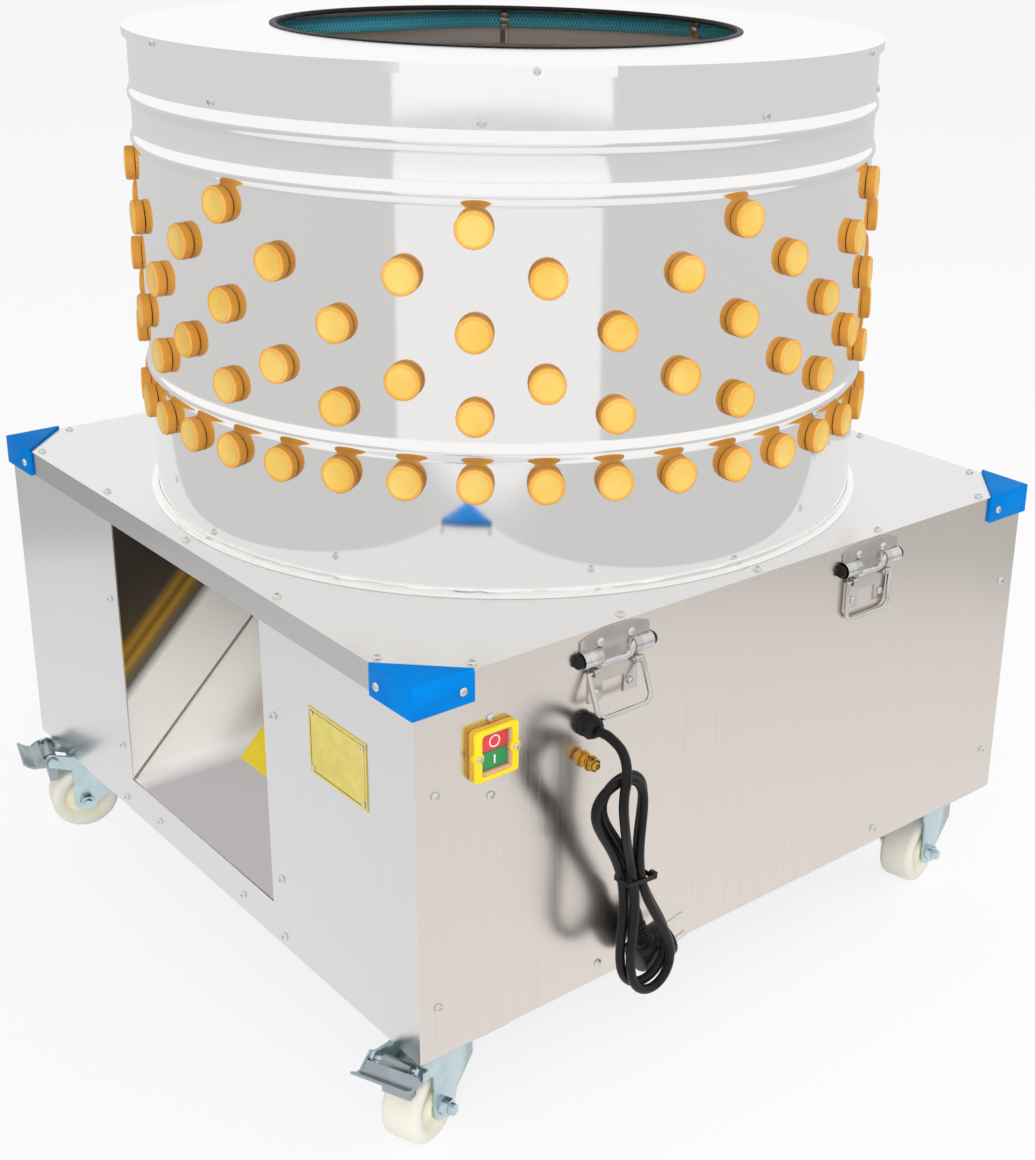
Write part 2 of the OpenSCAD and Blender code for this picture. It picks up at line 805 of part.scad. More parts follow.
module plate_hub() {
    hub_z = plate_z - hub_flange_t;
    color("gray") {
        difference() {
            union() {
                translate([0, 0, hub_z]) cylinder(r = hub_flange_r, h = hub_flange_t);
                translate([0, 0, hub_z - hub_boss_h]) cylinder(r = hub_boss_r, h = hub_boss_h);
            }
            translate([0, 0, hub_z - hub_boss_h - 1])
                cylinder(r = shaft_r + run_gap, h = hub_boss_h + hub_flange_t + 2);
            for (i = [0 : 3]) rotate([0, 0, i * 90 + 45]) translate([hub_bolt_ring, 0, hub_z - 1])
                cylinder(r = hub_bolt_r + run_gap, h = hub_flange_t + 2);
        }
        for (i = [0 : 3]) rotate([0, 0, i * 90 + 45]) translate([hub_bolt_ring, 0, hub_z]) {
            cylinder(r = hub_bolt_r, h = hub_flange_t + plate_t);
            translate([0, 0, hub_flange_t + plate_t]) cylinder(r = hub_bolt_r * 1.8, h = 5.5, $fn = 6);
        }
        translate([0, 0, plate_top]) difference() {
            cylinder(r = shaft_nut_r, h = shaft_nut_h, $fn = 6);
            translate([0, 0, -1]) cylinder(r = shaft_r + run_gap, h = shaft_nut_h + 2);
        }
    }
}

module main_shaft() {
    foot = low_bearing_z + move_gap;
    color("gray") {
        translate([0, 0, foot]) cylinder(r = shaft_r, h = plate_top + shaft_nut_h + 4 - foot);
        translate([0, 0, low_bearing_z + bearing_h + move_gap]) cylinder(r = collar_r, h = collar_h);
    }
}

module bearing() {
    difference() {
        union() {
            translate([-beam_w / 2, -beam_w / 2, 0]) cube([beam_w, beam_w, bearing_flange_t]);
            cylinder(r = bearing_boss_r, h = bearing_h);
        }
        translate([0, 0, -1]) cylinder(r = shaft_r + run_gap, h = bearing_h + 2);
    }
}

module shaft_bearings() {
    color("darkslategray") {
        translate([0, 0, low_bearing_z]) bearing();
        translate([0, 0, high_bearing_z]) mirror([0, 0, 1]) bearing();
    }
}

// A grooved pulley round Z with its groove's bottom a belt's depth below the rim
module pulley(r, bore) {
    bottom = r - groove_depth;
    low = belt_w / 2 + groove_side;
    rotate_extrude($fn = 120) polygon([
        [bore + run_gap, 0], [r, 0], [r, pulley_w / 2 - low - groove_flare], [bottom, pulley_w / 2 - low],
        [bottom, pulley_w / 2 + low], [r, pulley_w / 2 + low + groove_flare], [r, pulley_w], [bore + run_gap, pulley_w]
    ]);
}

module driven_pulley() {
    color("dimgray") translate([0, 0, pulley_z]) pulley(driven_r, shaft_r);
}

module motor_pulley() {
    color("dimgray") translate([motor_x, 0, pulley_z]) pulley(drive_r, rotor_r);
}

// Outline round both pulleys at a distance above their groove bottoms
module belt_outline(above) {
    big = driven_r - groove_depth + above;
    small = drive_r - groove_depth + above;
    lean = asin((big - small) / motor_x);
    circle(big, $fn = 160);
    translate([motor_x, 0]) circle(small, $fn = 96);
    polygon([
        [big * sin(lean), big * cos(lean)], [motor_x + small * sin(lean), small * cos(lean)],
        [motor_x + small * sin(lean), -small * cos(lean)], [big * sin(lean), -big * cos(lean)]
    ]);
}

module drive_belt() {
    color("black") translate([0, 0, belt_z - belt_w / 2]) linear_extrude(belt_w) difference() {
        belt_outline(belt_gap + belt_t);
        belt_outline(belt_gap);
    }
}

module motor_body() {
    pad_w = 60;
    fin_count = 24;
    color("steelblue") difference() {
        union() {
            translate([motor_x, 0, motor_z]) cylinder(r = motor_r - 4, h = motor_len, $fn = 96);
            translate([motor_x, 0, motor_z]) cylinder(r = motor_r, h = 12, $fn = 96);
            translate([motor_x, 0, motor_z + motor_len - 30]) cylinder(r = motor_r, h = 30, $fn = 96);
            for (i = [0 : fin_count - 1]) translate([motor_x, 0, motor_z + 12]) rotate([0, 0, i * 360 / fin_count])
                translate([motor_r - 8, -1.5, 0]) cube([7, 3, motor_len - 42]);
            translate([motor_x - pad_w / 2, -motor_r - 1, motor_z + 20]) cube([pad_w, motor_r, 70]);
        }
        translate([motor_x, 0, motor_z - 1]) cylinder(r = rotor_r + run_gap, h = motor_len / 2);
    }
}

module motor_terminal_box() {
    color("dimgray") translate([motor_x - 35, -motor_r - 1 - 38, motor_z + 18]) cube([70, 38, 74]);
}

module motor_shaft() {
    color("gray") translate([motor_x, 0, pulley_z - 4]) cylinder(r = rotor_r, h = motor_z - pulley_z + motor_len / 2 - 2);
}

module motor_bracket() {
    leg_t = 5;
    color("dimgray") {
        difference() {
            translate([motor_x - motor_r, -shelf_len / 2 - leg_t, shelf_z])
                cube([2 * motor_r, shelf_len + 2 * leg_t, shelf_t]);
            translate([motor_x, 0, shelf_z - 1]) cylinder(r = rotor_r + pass_gap, h = shelf_t + 2);
        }
        for (s = [0, 1]) mirror([0, s, 0])
            translate([motor_x - beam_w / 2, shelf_len / 2, beam_z + beam_h])
                cube([beam_w, leg_t, shelf_z - beam_z - beam_h]);
    }
}

// Water

// Hose's route: a ring that runs straight across its far side, from one end of the inlet's tee to the other
function arc(centre, r, from, to) =
    let (steps = ceil(abs(to - from) / hose_step))
    [for (i = [0 : steps]) let (a = from + (to - from) * i / steps) centre + r * [cos(a), sin(a), 0]];
function without_first(p) = [for (i = [1 : len(p) - 1]) p[i]];
tee_deg = (tee_len + 1) / hose_ring_r * 90 / PI;
tee_at = inlet_angle - flat_mid;
bend_at = (hose_ring_r - hose_bend_r) * [cos(flat_half), sin(flat_half), 0];
hose_route = concat(
    arc([0, 0, 0], hose_ring_r, tee_at + tee_deg, 360 - flat_half),
    without_first(arc([bend_at[0], -bend_at[1], 0], hose_bend_r, -flat_half, 0)),
    arc(bend_at, hose_bend_r, 0, flat_half),
    without_first(arc([0, 0, 0], hose_ring_r, flat_half, tee_at - tee_deg))
);

module water_hose() {
    color("teal") translate([0, 0, hose_z]) rotate([0, 0, flat_mid])
        pipe(hose_route, hose_r, hose_bore_r, hose_sides, [0, 0, 1]);
}

module hose_clips() {
    wall = drum_r - drum_t - move_gap;
    color("darkgray") for (a = clip_angles) rotate([0, 0, a]) {
        translate([hose_ring_r, clip_w / 2, hose_z]) rotate([90, 0, 0]) linear_extrude(clip_w) difference() {
            union() {
                circle(hose_r + clip_gap + clip_t, $fn = 32);
                translate([0, hose_r + clip_gap]) square([wall - hose_ring_r, clip_t]);
            }
            circle(hose_r + clip_gap, $fn = 32);
        }
        translate([wall - clip_t, -clip_w / 2, clip_screw_z - 5])
            cube([clip_t, clip_w, hose_z + hose_r + clip_gap + clip_t - clip_screw_z + 5]);
    }
}

module hose_inlet() {
    barb_r = hose_bore_r - 1;
    barb_len = 8;
    stem = drum_r - hose_ring_r + inlet_len + 6;
    color("darkgoldenrod") rotate([0, 0, inlet_angle]) translate([hose_ring_r, 0, hose_z]) {
        rotate([90, 0, 0]) translate([0, 0, -tee_len / 2]) cylinder(r = hose_r, h = tee_len);
        rotate([90, 0, 0]) translate([0, 0, -tee_len / 2 - barb_len]) cylinder(r = barb_r, h = tee_len + 2 * barb_len);
        rotate([0, 90, 0]) cylinder(r = inlet_r, h = stem);
        translate([drum_r + move_gap - hose_ring_r, 0, 0]) rotate([0, 90, 0]) cylinder(r = inlet_nut_r, h = 6, $fn = 6);
    }
}

// Switch

module switch_box() {
    cut_w = switch_w - 2 * switch_wall - 2 * seat_gap;
    cut_h = switch_h - 2 * switch_wall - 2 * seat_gap;
    color("gold") on_front(-switch_x, switch_z) difference() {
        union() {
            translate([-switch_w / 2, -switch_h / 2, 0]) cube([switch_w, switch_h, switch_flange_t]);
            translate([-cut_w / 2, -cut_h / 2, -switch_in]) cube([cut_w, cut_h, switch_in]);
        }
        translate([-window_w / 2, -window_h / 2, button_proud - button_depth - button_travel - 1])
            cube([window_w, window_h, button_depth + button_travel + 10]);
    }
}

module switch_bezel() {
    color("gold") on_front(-switch_x, switch_z, switch_flange_t) difference() {
        union() {
            translate([-switch_w / 2, -switch_h / 2, 0]) cube([switch_w, switch_h, bezel_t - 1]);
            translate([-switch_w / 2 + 2, -switch_h / 2 + 2, 0]) cube([switch_w - 4, switch_h - 4, bezel_t]);
            for (s = [-1, 1]) translate([s * (switch_w / 2 - boss_r), 0, 0]) cylinder(r = boss_r, h = bezel_t + 1);
        }
        translate([-window_w / 2, -window_h / 2, -1]) cube([window_w, window_h, bezel_t + 3]);
    }
}

// A push button, above (1) or below (-1) the switch's middle
module button(side) {
    on_front(-switch_x, switch_z, switch_flange_t + button_proud - button_depth)
        translate([-button_w / 2, side * (button_h + move_gap) / 2 - button_h / 2, 0])
            cube([button_w, button_h, button_depth]);
}

module stop_button() {
    color("red") button(1);
}

module start_button() {
    color("green") button(-1);
}

// Lead and its fittings

module cable_gland() {
    inner_h = 12;
    color("black") on_front(gland_x, gland_z) {
        cylinder(r = gland_hex_r, h = gland_hex_h, $fn = 6);
        translate([0, 0, gland_hex_h]) cylinder(r = gland_dome_r, h = gland_dome_h);
        translate([0, 0, gland_hex_h + gland_dome_h])
            cylinder(r1 = gland_dome_r - 1.5, r2 = gland_nose_r, h = gland_nose_h);
        translate([0, 0, -inner_h]) cylinder(r = gland_thread_r, h = inner_h);
        translate([0, 0, -sheet_t - 5]) cylinder(r = gland_hex_r, h = 5, $fn = 6);
    }
}

module cord_drop() {
    color("black") tube(drop_points, cord_d, cord_sides_drop, [1, 0, 0]);
}

module cord_hank() {
    color("black") tube(hank_points, cord_d, cord_sides_hank, [0, 1, 0]);
}

module cable_tie() {
    in_w = waist_second + cord_d / 2 + tie_gap;
    in_front = -cord_d / 2 - tie_gap;
    in_back = hank_layer + cord_d / 2 + tie_gap;
    color("black") hank_place() translate([0, 0, -tie_h / 2]) {
        linear_extrude(tie_h) difference() {
            translate([-in_w - tie_t, in_front - tie_t]) square([2 * (in_w + tie_t), in_back - in_front + 2 * tie_t]);
            translate([-in_w, in_front]) square([2 * in_w, in_back - in_front]);
        }
        translate([in_w + tie_t, in_front, -1]) cube([tie_head - 2, tie_head, tie_h + 2]);
    }
}

// Angled plug: a round body lying across the lead, its pins pointing to the hank's side
module plug_body() {
    color("black") hank_place() translate([hank_across, plug_y, 0]) {
        translate([0, 0, -plug_top - boot_len]) cylinder(r1 = boot_r + 1.5, r2 = boot_r - 1.5, h = boot_len);
        translate([plug_shift - plug_w / 2, 0, plug_z]) rotate([0, 90, 0]) cylinder(r = plug_grip_r, h = plug_w);
        translate([plug_shift + plug_w / 2 - plug_face_w, 0, plug_z]) rotate([0, 90, 0])
            cylinder(r = plug_r, h = plug_face_w);
    }
}

module plug_pins() {
    color("silver") hank_place() for (s = [-1, 1])
        translate([hank_across + plug_shift + plug_w / 2, plug_y, plug_z + s * pin_half])
            rotate([0, 90, 0]) cylinder(r = pin_r, h = pin_len);
}

module earth_stud() {
    color("darkgoldenrod") on_front(stud_x, stud_z) {
        translate([0, 0, -14]) cylinder(r = stud_r, h = 14 + stud_len);
        cylinder(r = stud_r * 2.1, h = 1.2);
        translate([0, 0, 1.2]) cylinder(r = stud_r * 1.8, h = 4.5, $fn = 6);
        translate([0, 0, 8]) cylinder(r = stud_r * 2, h = 1.2);
        translate([0, 0, 9.2]) cylinder(r = stud_r * 1.8, h = 4.5, $fn = 6);
        translate([0, 0, -sheet_t - 5]) cylinder(r = stud_r * 1.8, h = 5, $fn = 6);
    }
}

module blank_plate() {
    color("khaki") translate([-half - plate_card_t, plate_mid_y - plate_card_w / 2, plate_mid_z - plate_card_h / 2])
        cube([plate_card_t, plate_card_w, plate_card_h]);
}

// Handles

// One handle's sheet parts in the face's own directions: X across, Y up from the top, Z out of the face
module handle_sheet() {
    arch_half = handle_w / 2;
    arch_r = (arch_half * arch_half + handle_arch * handle_arch) / (2 * handle_arch);
    axis_out = sheet_t + handle_t;
    translate([0, 0, sheet_t]) linear_extrude(handle_t) {
        translate([-arch_half, -barrel_z]) square([handle_w, barrel_z - handle_top]);
        intersection() {
            translate([0, -handle_top + handle_arch - arch_r]) circle(arch_r, $fn = 160);
            translate([-arch_half, -handle_top]) square([handle_w, handle_arch + 1]);
        }
        translate([-barrel_in, -tongue_low]) square([2 * barrel_in, tongue_low - barrel_z]);
    }
    for (s = [0, 1]) mirror([s, 0, 0])
        translate([barrel_in, -barrel_z, axis_out]) rotate([0, 90, 0]) difference() {
            cylinder(r = barrel_r, h = arch_half - barrel_in);
            translate([0, 0, -1]) cylinder(r = barrel_r - handle_t, h = arch_half - barrel_in + 2);
            translate([0, -barrel_r - 1, -1]) cube([barrel_r + 1, 2 * barrel_r + 2, arch_half - barrel_in + 2]);
        }
    translate([-barrel_in, -tongue_low, axis_out]) cube([2 * barrel_in, tongue_rim, tongue_rim]);
    for (s = [0, 1]) mirror([s, 0, 0])
        translate([barrel_in - tongue_rim, -tongue_low, axis_out]) cube([tongue_rim, tongue_low - barrel_z + barrel_r, tongue_rim]);
}

module handle_backing() {
    top = lip_h + ear_gap;
    linear_extrude(sheet_t) {
        translate([-handle_w / 2 + backing_in, -backing_low])
            square([handle_w - 2 * backing_in, backing_low - top]);
        for (s = [0, 1]) mirror([s, 0, 0])
            translate([handle_w / 2 - backing_in - tab_w, -backing_tab])
                square([tab_w, backing_tab - backing_low]);
    }
    for (s = [0, 1]) mirror([s, 0, 0])
        translate([bail_leg_x - bail_r - 1.5 - loop_w, -pivot_z, pivot_y]) rotate([0, 90, 0]) difference() {
            cylinder(r = bail_r + run_gap + loop_t, h = loop_w);
            translate([0, 0, -1]) cylinder(r = bail_r + run_gap, h = loop_w + 2);
        }
}

module handle_plates() {
    color("lightgray") {
        for (x = [-handle_x_near, handle_x_far]) on_front(x, base_top) {
            handle_sheet();
            handle_backing();
        }
        for (x = [handle_x_near, -handle_x_far]) translate([x, half, base_top]) rotate([90, 0, 180]) {
            handle_sheet();
            handle_backing();
        }
    }
}

// Wire bail in the face's own directions, its pivots turned inwards into the backing's loops and
// its legs leaning out by an angle: the near one lies on the cable gland
module bail(lean) {
    in_x = bail_r + 2 + loop_w;
    leg = bail_drop - bail_r - bail_corner;
    translate([0, -pivot_z, pivot_y]) rotate([-lean, 0, 0]) {
        for (s = [0, 1]) mirror([s, 0, 0]) {
            translate([bail_leg_x - in_x, 0, 0]) rotate([0, 90, 0]) cylinder(r = bail_r, h = in_x);
            translate([bail_leg_x, 0, 0]) sphere(bail_r);
            translate([bail_leg_x, -leg, 0]) rotate([-90, 0, 0]) cylinder(r = bail_r, h = leg);
            translate([bail_leg_x - bail_corner, -leg, 0]) rotate([0, 0, -90])
                rotate_extrude(angle = 90) translate([bail_corner, 0]) circle(bail_r);
        }
        translate([-bail_leg_x + bail_corner, -leg - bail_corner, 0]) rotate([0, 90, 0])
            cylinder(r = bail_r, h = 2 * (bail_leg_x - bail_corner));
    }
}

module bail_front(x, lean) {
    color("silver") on_front(x, base_top) bail(lean);
}

module bail_rear(x) {
    color("silver") translate([x, half, base_top]) rotate([90, 0, 180]) bail(0);
}

// Screws

module tray_screws() {
    for (a = [0 : 3], s = [-tray_screw_end, -tray_screw_mid, 0, tray_screw_mid, tray_screw_end])
        rotate([0, 0, a * 90]) translate([s, -tray + tray_screw_in, base_top]) screw();
}

module panel_screws() {
    side = half - panel_screw_in;
    upper = base_top - panel_screw_high;
    lower = base_z + panel_screw_low;
    along = half - foot_screw_in;
    foot = base_z + foot_screw_z;
    for (s = [-1, 1]) {
        on_rear(s * side, upper) screw();
        on_rear(s * side, lower) screw();
        on_rear(s * along, foot) screw();
        on_front(s * side, upper) screw();
        on_front(s * side, lower) screw();
        on_front(s * along, foot) screw();
        on_right(s * side, upper) screw();
        on_right(s * side, lower) screw();
        on_right(s * along, foot) screw();
        on_left(s * (chute_w / 2 - sill_screw_in), foot) screw();
        for (z = [base_top - chute_screw_high, base_z + chute_screw_low, base_z + chute_screw_foot])
            on_left(s * (chute_w / 2 + chute_screw_out), z) screw();
    }
    on_front(-switch_x, switch_z + switch_h / 2 + screw_r + 0.5) screw();
    on_front(-switch_x, switch_z - switch_h / 2 - switch_screw_gap) screw();
}

module guard_screws() {
    along = tray - guard_leg + 10;
    z = base_top - 12;
    for (s = [-1, 1]) {
        on_front(s * along, z, sheet_t + guard_t) screw();
        on_rear(s * along, z, sheet_t + guard_t) screw();
        on_left(s * along, z, sheet_t + guard_t) screw();
        on_right(s * along, z, sheet_t + guard_t) screw();
    }
}

module drum_screws() {
    for (a = clip_angles) on_drum(a, clip_screw_z) screw();
    for (i = [0 : 5]) on_drum(lid_screw_first + i * 60, drum_top - lid_lip / 2, drum_r + lid_over) scale(0.8) screw();
}

module plate_rivets() {
    inset = 4.5;
    for (a = [-1, 1], b = [-1, 1])
        on_left(plate_mid_y + a * (plate_card_w / 2 - inset), plate_mid_z + b * (plate_card_h / 2 - inset), plate_card_t)
            scale(0.6) screw();
}

module handle_rivets() {
    for (s = [-1, 1]) {
        translate([s * handle_screw_x, -handle_screw_z, sheet_t + handle_t]) screw();
        translate([s * (handle_w / 2 - backing_in - tab_w / 2), -tab_screw_z, sheet_t]) scale(0.9) screw();
    }
}

module small_screws() {
    color("lightgray") {
        tray_screws();
        panel_screws();
        guard_screws();
        drum_screws();
        plate_rivets();
        for (x = [-handle_x_near, handle_x_far]) on_front(x, base_top) handle_rivets();
        for (x = [handle_x_near, -handle_x_far]) translate([x, half, base_top]) rotate([90, 0, 180]) handle_rivets();
        for (s = [-1, 1]) on_front(-switch_x + s * (switch_w / 2 - boss_r), switch_z, switch_flange_t + bezel_t + 1)
            scale(0.7) screw();
    }
}

// Casters, modelled with the swivel axis on Z and the wheel trailing along X

module caster_place(c) {
    translate([c[0], c[1], 0]) rotate([0, 0, c[2]]) children();
}

module caster_plate() {
    translate([-caster_plate_w / 2, -caster_plate_w / 2, base_z - caster_plate_t])
        cube([caster_plate_w, caster_plate_w, caster_plate_t]);
    translate([0, 0, base_z - caster_plate_t - race_h]) cylinder(r = race_r, h = race_h);
    translate([0, 0, fork_z - crown_t - move_gap - kingpin_head_h]) {
        cylinder(r = kingpin_r, h = base_z - fork_z + crown_t + move_gap);
        cylinder(r = kingpin_head_r, h = kingpin_head_h);
    }
}

module caster_plates() {
    color("silver") for (c = [caster_fl, caster_rl, caster_fr, caster_rr]) translate([c[0], c[1], 0]) caster_plate();
}

// Side view of a fork's arm, with or without the ear for the brake pedal
module arm_outline(braked) {
    translate([trail, wheel_r]) circle(arm_end_r);
    polygon([
        [-arm_back, fork_z], [-arm_back, base_z - arm_bend], [trail - arm_end_r + 1.5, wheel_r - 4],
        [trail + arm_end_r, wheel_r], [trail + arm_end_r, fork_z - 16], [trail + arm_end_r + 2, fork_z - 12],
        [trail + arm_end_r, fork_z]
    ]);
    if (braked) {
        translate([pedal_x, pedal_z]) circle(pedal_ear_r);
        polygon([
            [trail, fork_z - 14], [trail + arm_end_r + 2, fork_z - 14], [pedal_x, pedal_z - pedal_ear_r],
            [pedal_x, pedal_z + pedal_ear_r], [trail + arm_end_r, fork_z], [trail, fork_z]
        ]);
    }
}

module caster_fork(c, braked) {
    color("lightsteelblue") caster_place(c) {
        difference() {
            union() {
                translate([0, 0, fork_z - crown_t]) cylinder(r = crown_r, h = crown_t);
                translate([-arm_back, -arm_out, fork_z - crown_t])
                    cube([arm_back + trail, 2 * arm_out, crown_t]);
                for (y = [-arm_in, arm_out]) translate([0, y, 0]) rotate([90, 0, 0])
                    linear_extrude(fork_t) arm_outline(braked);
            }
            translate([0, 0, fork_z - crown_t - 1]) cylinder(r = kingpin_r + run_gap, h = crown_t + 2);
            translate([trail, arm_out + 1, wheel_r]) rotate([90, 0, 0])
                cylinder(r = axle_r + run_gap, h = 2 * arm_out + 2);
            if (braked) translate([pedal_x, arm_out + 1, pedal_z]) rotate([90, 0, 0])
                cylinder(r = pedal_pin_r + run_gap, h = 2 * arm_out + 2);
        }
        translate([trail, 0, wheel_r]) rotate([90, 0, 0]) {
            translate([0, 0, -arm_out - nut_h - stub_h]) cylinder(r = axle_r, h = 2 * (arm_out + nut_h) + stub_h);
            translate([0, 0, arm_out]) cylinder(r = nut_r, h = nut_h, $fn = 6);
            translate([0, 0, -arm_out - nut_h]) cylinder(r = nut_r, h = nut_h, $fn = 6);
        }
        if (braked) translate([pedal_x, 0, pedal_z]) rotate([90, 0, 0]) {
            translate([0, 0, -pedal_out - 2]) cylinder(r = pedal_pin_r, h = 2 * pedal_out + 4);
            for (s = [0, 1]) mirror([0, 0, s]) translate([0, 0, pedal_out + move_gap])
                cylinder(r = pedal_pin_r + 1.6, h = 1.7);
        }
    }
}

module wheel(c) {
    w = wheel_w / 2;
    bore = axle_r + run_gap;
    color("ivory") caster_place(c) translate([trail, 0, wheel_r]) rotate([90, 0, 0]) rotate_extrude($fn = 96)
        polygon([
            [bore, -w - 0.8], [bore + 6, -w - 0.8], [bore + 7, -w + 2], [bore + 11, -w + 3.2], [bore + 15, -w + 2],
            [bore + 17, -w], [wheel_r - 5, -w], [wheel_r - 2.6, -w + 0.7], [wheel_r - 0.8, -w + 2.6], [wheel_r, -w + 6],
            [wheel_r, w - 6], [wheel_r - 0.8, w - 2.6], [wheel_r - 2.6, w - 0.7], [wheel_r - 5, w],
            [bore + 17, w], [bore + 15, w - 2], [bore + 11, w - 3.2], [bore + 7, w - 2], [bore + 6, w + 0.8], [bore, w + 0.8]
        ]);
}

// Side view of the pedal's plate about its pivot: it dips and turns up at its end
module pedal_outline() {
    polygon([
        [7.2, 1.2], [9.2, -0.4], [12, -2.3], [15.5, -3.3], [19, -2.2], [22.5, 0], [26.5, 3.6],
        [25.4, 5.2], [21.5, 2], [18.4, 0.1], [15.5, -0.9], [12.8, -0.1], [10, 2.2], [8, 3.8]
    ]);
}

module brake_pedal(c) {
    color("lightsteelblue") caster_place(c) translate([pedal_x, 0, pedal_z]) difference() {
        union() {
            translate([0, pedal_out, 0]) rotate([90, 0, 0]) linear_extrude(2 * pedal_out) pedal_outline();
            for (y = [-pedal_in, pedal_out]) translate([0, y, 0]) rotate([90, 0, 0]) linear_extrude(pedal_out - pedal_in) {
                circle(pedal_ear_r - 1.5);
                polygon([[0, -pedal_ear_r + 1.5], [14, -3.1], [14, 0], [9, 3.4], [0, pedal_ear_r - 1.5]]);
            }
            translate([0, shoe_w / 2, 0]) rotate([90, 0, 0]) linear_extrude(shoe_w) {
                circle(pedal_ear_r - 1.5);
                polygon([[0, -pedal_ear_r + 1.5], [12.5, -2.2], [9, 2.6], [0, pedal_ear_r - 1.5]]);
                polygon([[-4.3, -shoe_len + 0.3], [3, -shoe_len - 0.2], [4.9, 0], [-4.9, 0]]);
            }
        }
        translate([0, pedal_out + 1, 0]) rotate([90, 0, 0]) cylinder(r = pedal_pin_r + run_gap, h = 2 * pedal_out + 2);
    }
}

base_top_panel();
front_panel();
rear_panel();
right_panel();
chute_side_panels();
chute_sill();
base_frame();
bearing_beams();
chute_slope();
chute_walls();
drum_shell();
drum_foot_ring();
lid_ring();
opening_trim();
drum_fingers();
feather_plate();
plate_paddles();
plate_fingers();
plate_hub();
main_shaft();
shaft_bearings();
driven_pulley();
drive_belt();
motor_body();
motor_terminal_box();
motor_shaft();
motor_pulley();
motor_bracket();
water_hose();
hose_clips();
hose_inlet();
corner_guards();
small_screws();
switch_box();
switch_bezel();
stop_button();
start_button();
cable_gland();
cord_drop();
cord_hank();
cable_tie();
plug_body();
plug_pins();
earth_stud();
blank_plate();
handle_plates();
bail_front(-handle_x_near, near_lean);  // bail_front_near
bail_front(handle_x_far, 0);  // bail_front_far
bail_rear(handle_x_near);  // bail_rear_near
bail_rear(-handle_x_far);  // bail_rear_far
caster_plates();
caster_fork(caster_fl, true);  // caster_fork_fl
caster_fork(caster_rl, true);  // caster_fork_rl
caster_fork(caster_fr, false);  // caster_fork_fr
caster_fork(caster_rr, false);  // caster_fork_rr
wheel(caster_fl);  // wheel_fl
wheel(caster_rl);  // wheel_rl
wheel(caster_fr);  // wheel_fr
wheel(caster_rr);  // wheel_rr
brake_pedal(caster_fl);  // brake_pedal_fl
brake_pedal(caster_rl);  // brake_pedal_rl
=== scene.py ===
# Looks of the poultry plucker around its CAD part: camera, studio, lead, dressed nodes and detail pieces
import math

import bpy
from mathutils import Matrix, Vector


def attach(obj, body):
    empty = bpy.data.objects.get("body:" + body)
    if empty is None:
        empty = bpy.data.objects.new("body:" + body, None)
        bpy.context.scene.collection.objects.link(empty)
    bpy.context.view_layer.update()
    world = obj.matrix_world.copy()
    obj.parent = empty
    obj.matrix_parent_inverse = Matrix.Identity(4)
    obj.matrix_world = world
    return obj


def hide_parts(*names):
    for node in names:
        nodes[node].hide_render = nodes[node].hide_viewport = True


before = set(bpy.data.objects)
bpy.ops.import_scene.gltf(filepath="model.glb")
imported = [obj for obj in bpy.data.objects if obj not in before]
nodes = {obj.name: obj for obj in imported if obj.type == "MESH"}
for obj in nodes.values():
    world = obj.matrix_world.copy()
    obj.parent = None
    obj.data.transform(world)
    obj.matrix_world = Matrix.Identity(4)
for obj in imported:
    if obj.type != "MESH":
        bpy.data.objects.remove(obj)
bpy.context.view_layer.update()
MM = 0.001

# Sizes of the CAD part in millimetres
HALF = 320.0
SHEET = 1.2
BASE_TOP = 385.5
BASE_FOOT = 89.5
DRUM_R = 300.0
DRUM_T = 1.5
DRUM_TOP = 760.5
PLATE_T = 3.0

# The lead's diameter in the solids, and the one that is drawn here
CORD_D, LEAD_D = 6.5, 7.2

# Places in millimetres, along a panel and in height
SWITCH = (-258, BASE_TOP - 64)
SWITCH_SCREWS = (BASE_TOP - 40.85, BASE_TOP - 100.25)
BOSS_X = 15.4
BARE_PLATE = (-225, BASE_TOP - 91.5)
RIVET_X, RIVET_Z = 33, 22

# Edges that turn by more than this are rounded
SHARP = math.radians(35)


# Helpers

def linear(code):
    """sRGB hex to a linear colour with alpha."""
    parts = [int(code[i:i + 2], 16) / 255 for i in (1, 3, 5)]
    return (*[c / 12.92 if c <= 0.04045 else ((c + 0.055) / 1.055) ** 2.4 for c in parts], 1.0)


def material(name):
    made = bpy.data.materials.new(name)
    made.use_nodes = True
    return made, made.node_tree.nodes["Principled BSDF"]


def feed(tree, node, inputs):
    """Sets or links a node's inputs, given as (socket, value or output) pairs."""
    for key, value in inputs:
        if isinstance(value, bpy.types.NodeSocket):
            tree.links.new(value, node.inputs[key])
        else:
            node.inputs[key].default_value = value


def add(tree, kind, inputs=(), **settings):
    """Adds a node with its inputs, and with settings of its own properties."""
    made = tree.nodes.new(kind)
    for key, value in settings.items():
        setattr(made, key, value)
    feed(tree, made, inputs)
    return made


def dimmed(colour, share):
    """A linear colour darkened to that share."""
    return (*[c * share for c in colour[:3]], 1)


def ramp_colours(ramp, *stops):
    """Sets a colour ramp's stops, each a place and a linear colour."""
    elements = ramp.color_ramp.elements
    while len(elements) > len(stops):
        elements.remove(elements[-1])
    while len(elements) < len(stops):
        elements.new(0.5)
    for element, (place, colour) in zip(elements, stops):
        element.position = place
        element.color = colour


def only(obj):
    """Deselects everything, then selects obj and makes it active."""
    bpy.ops.object.select_all(action="DESELECT")
    obj.select_set(True)
    bpy.context.view_layer.objects.active = obj


def edit(obj, mode="FACE"):
    only(obj)
    bpy.ops.object.mode_set(mode="EDIT")
    bpy.ops.mesh.select_mode(type=mode)
    bpy.ops.mesh.select_all(action="SELECT")


def leave():
    bpy.ops.object.mode_set(mode="OBJECT")


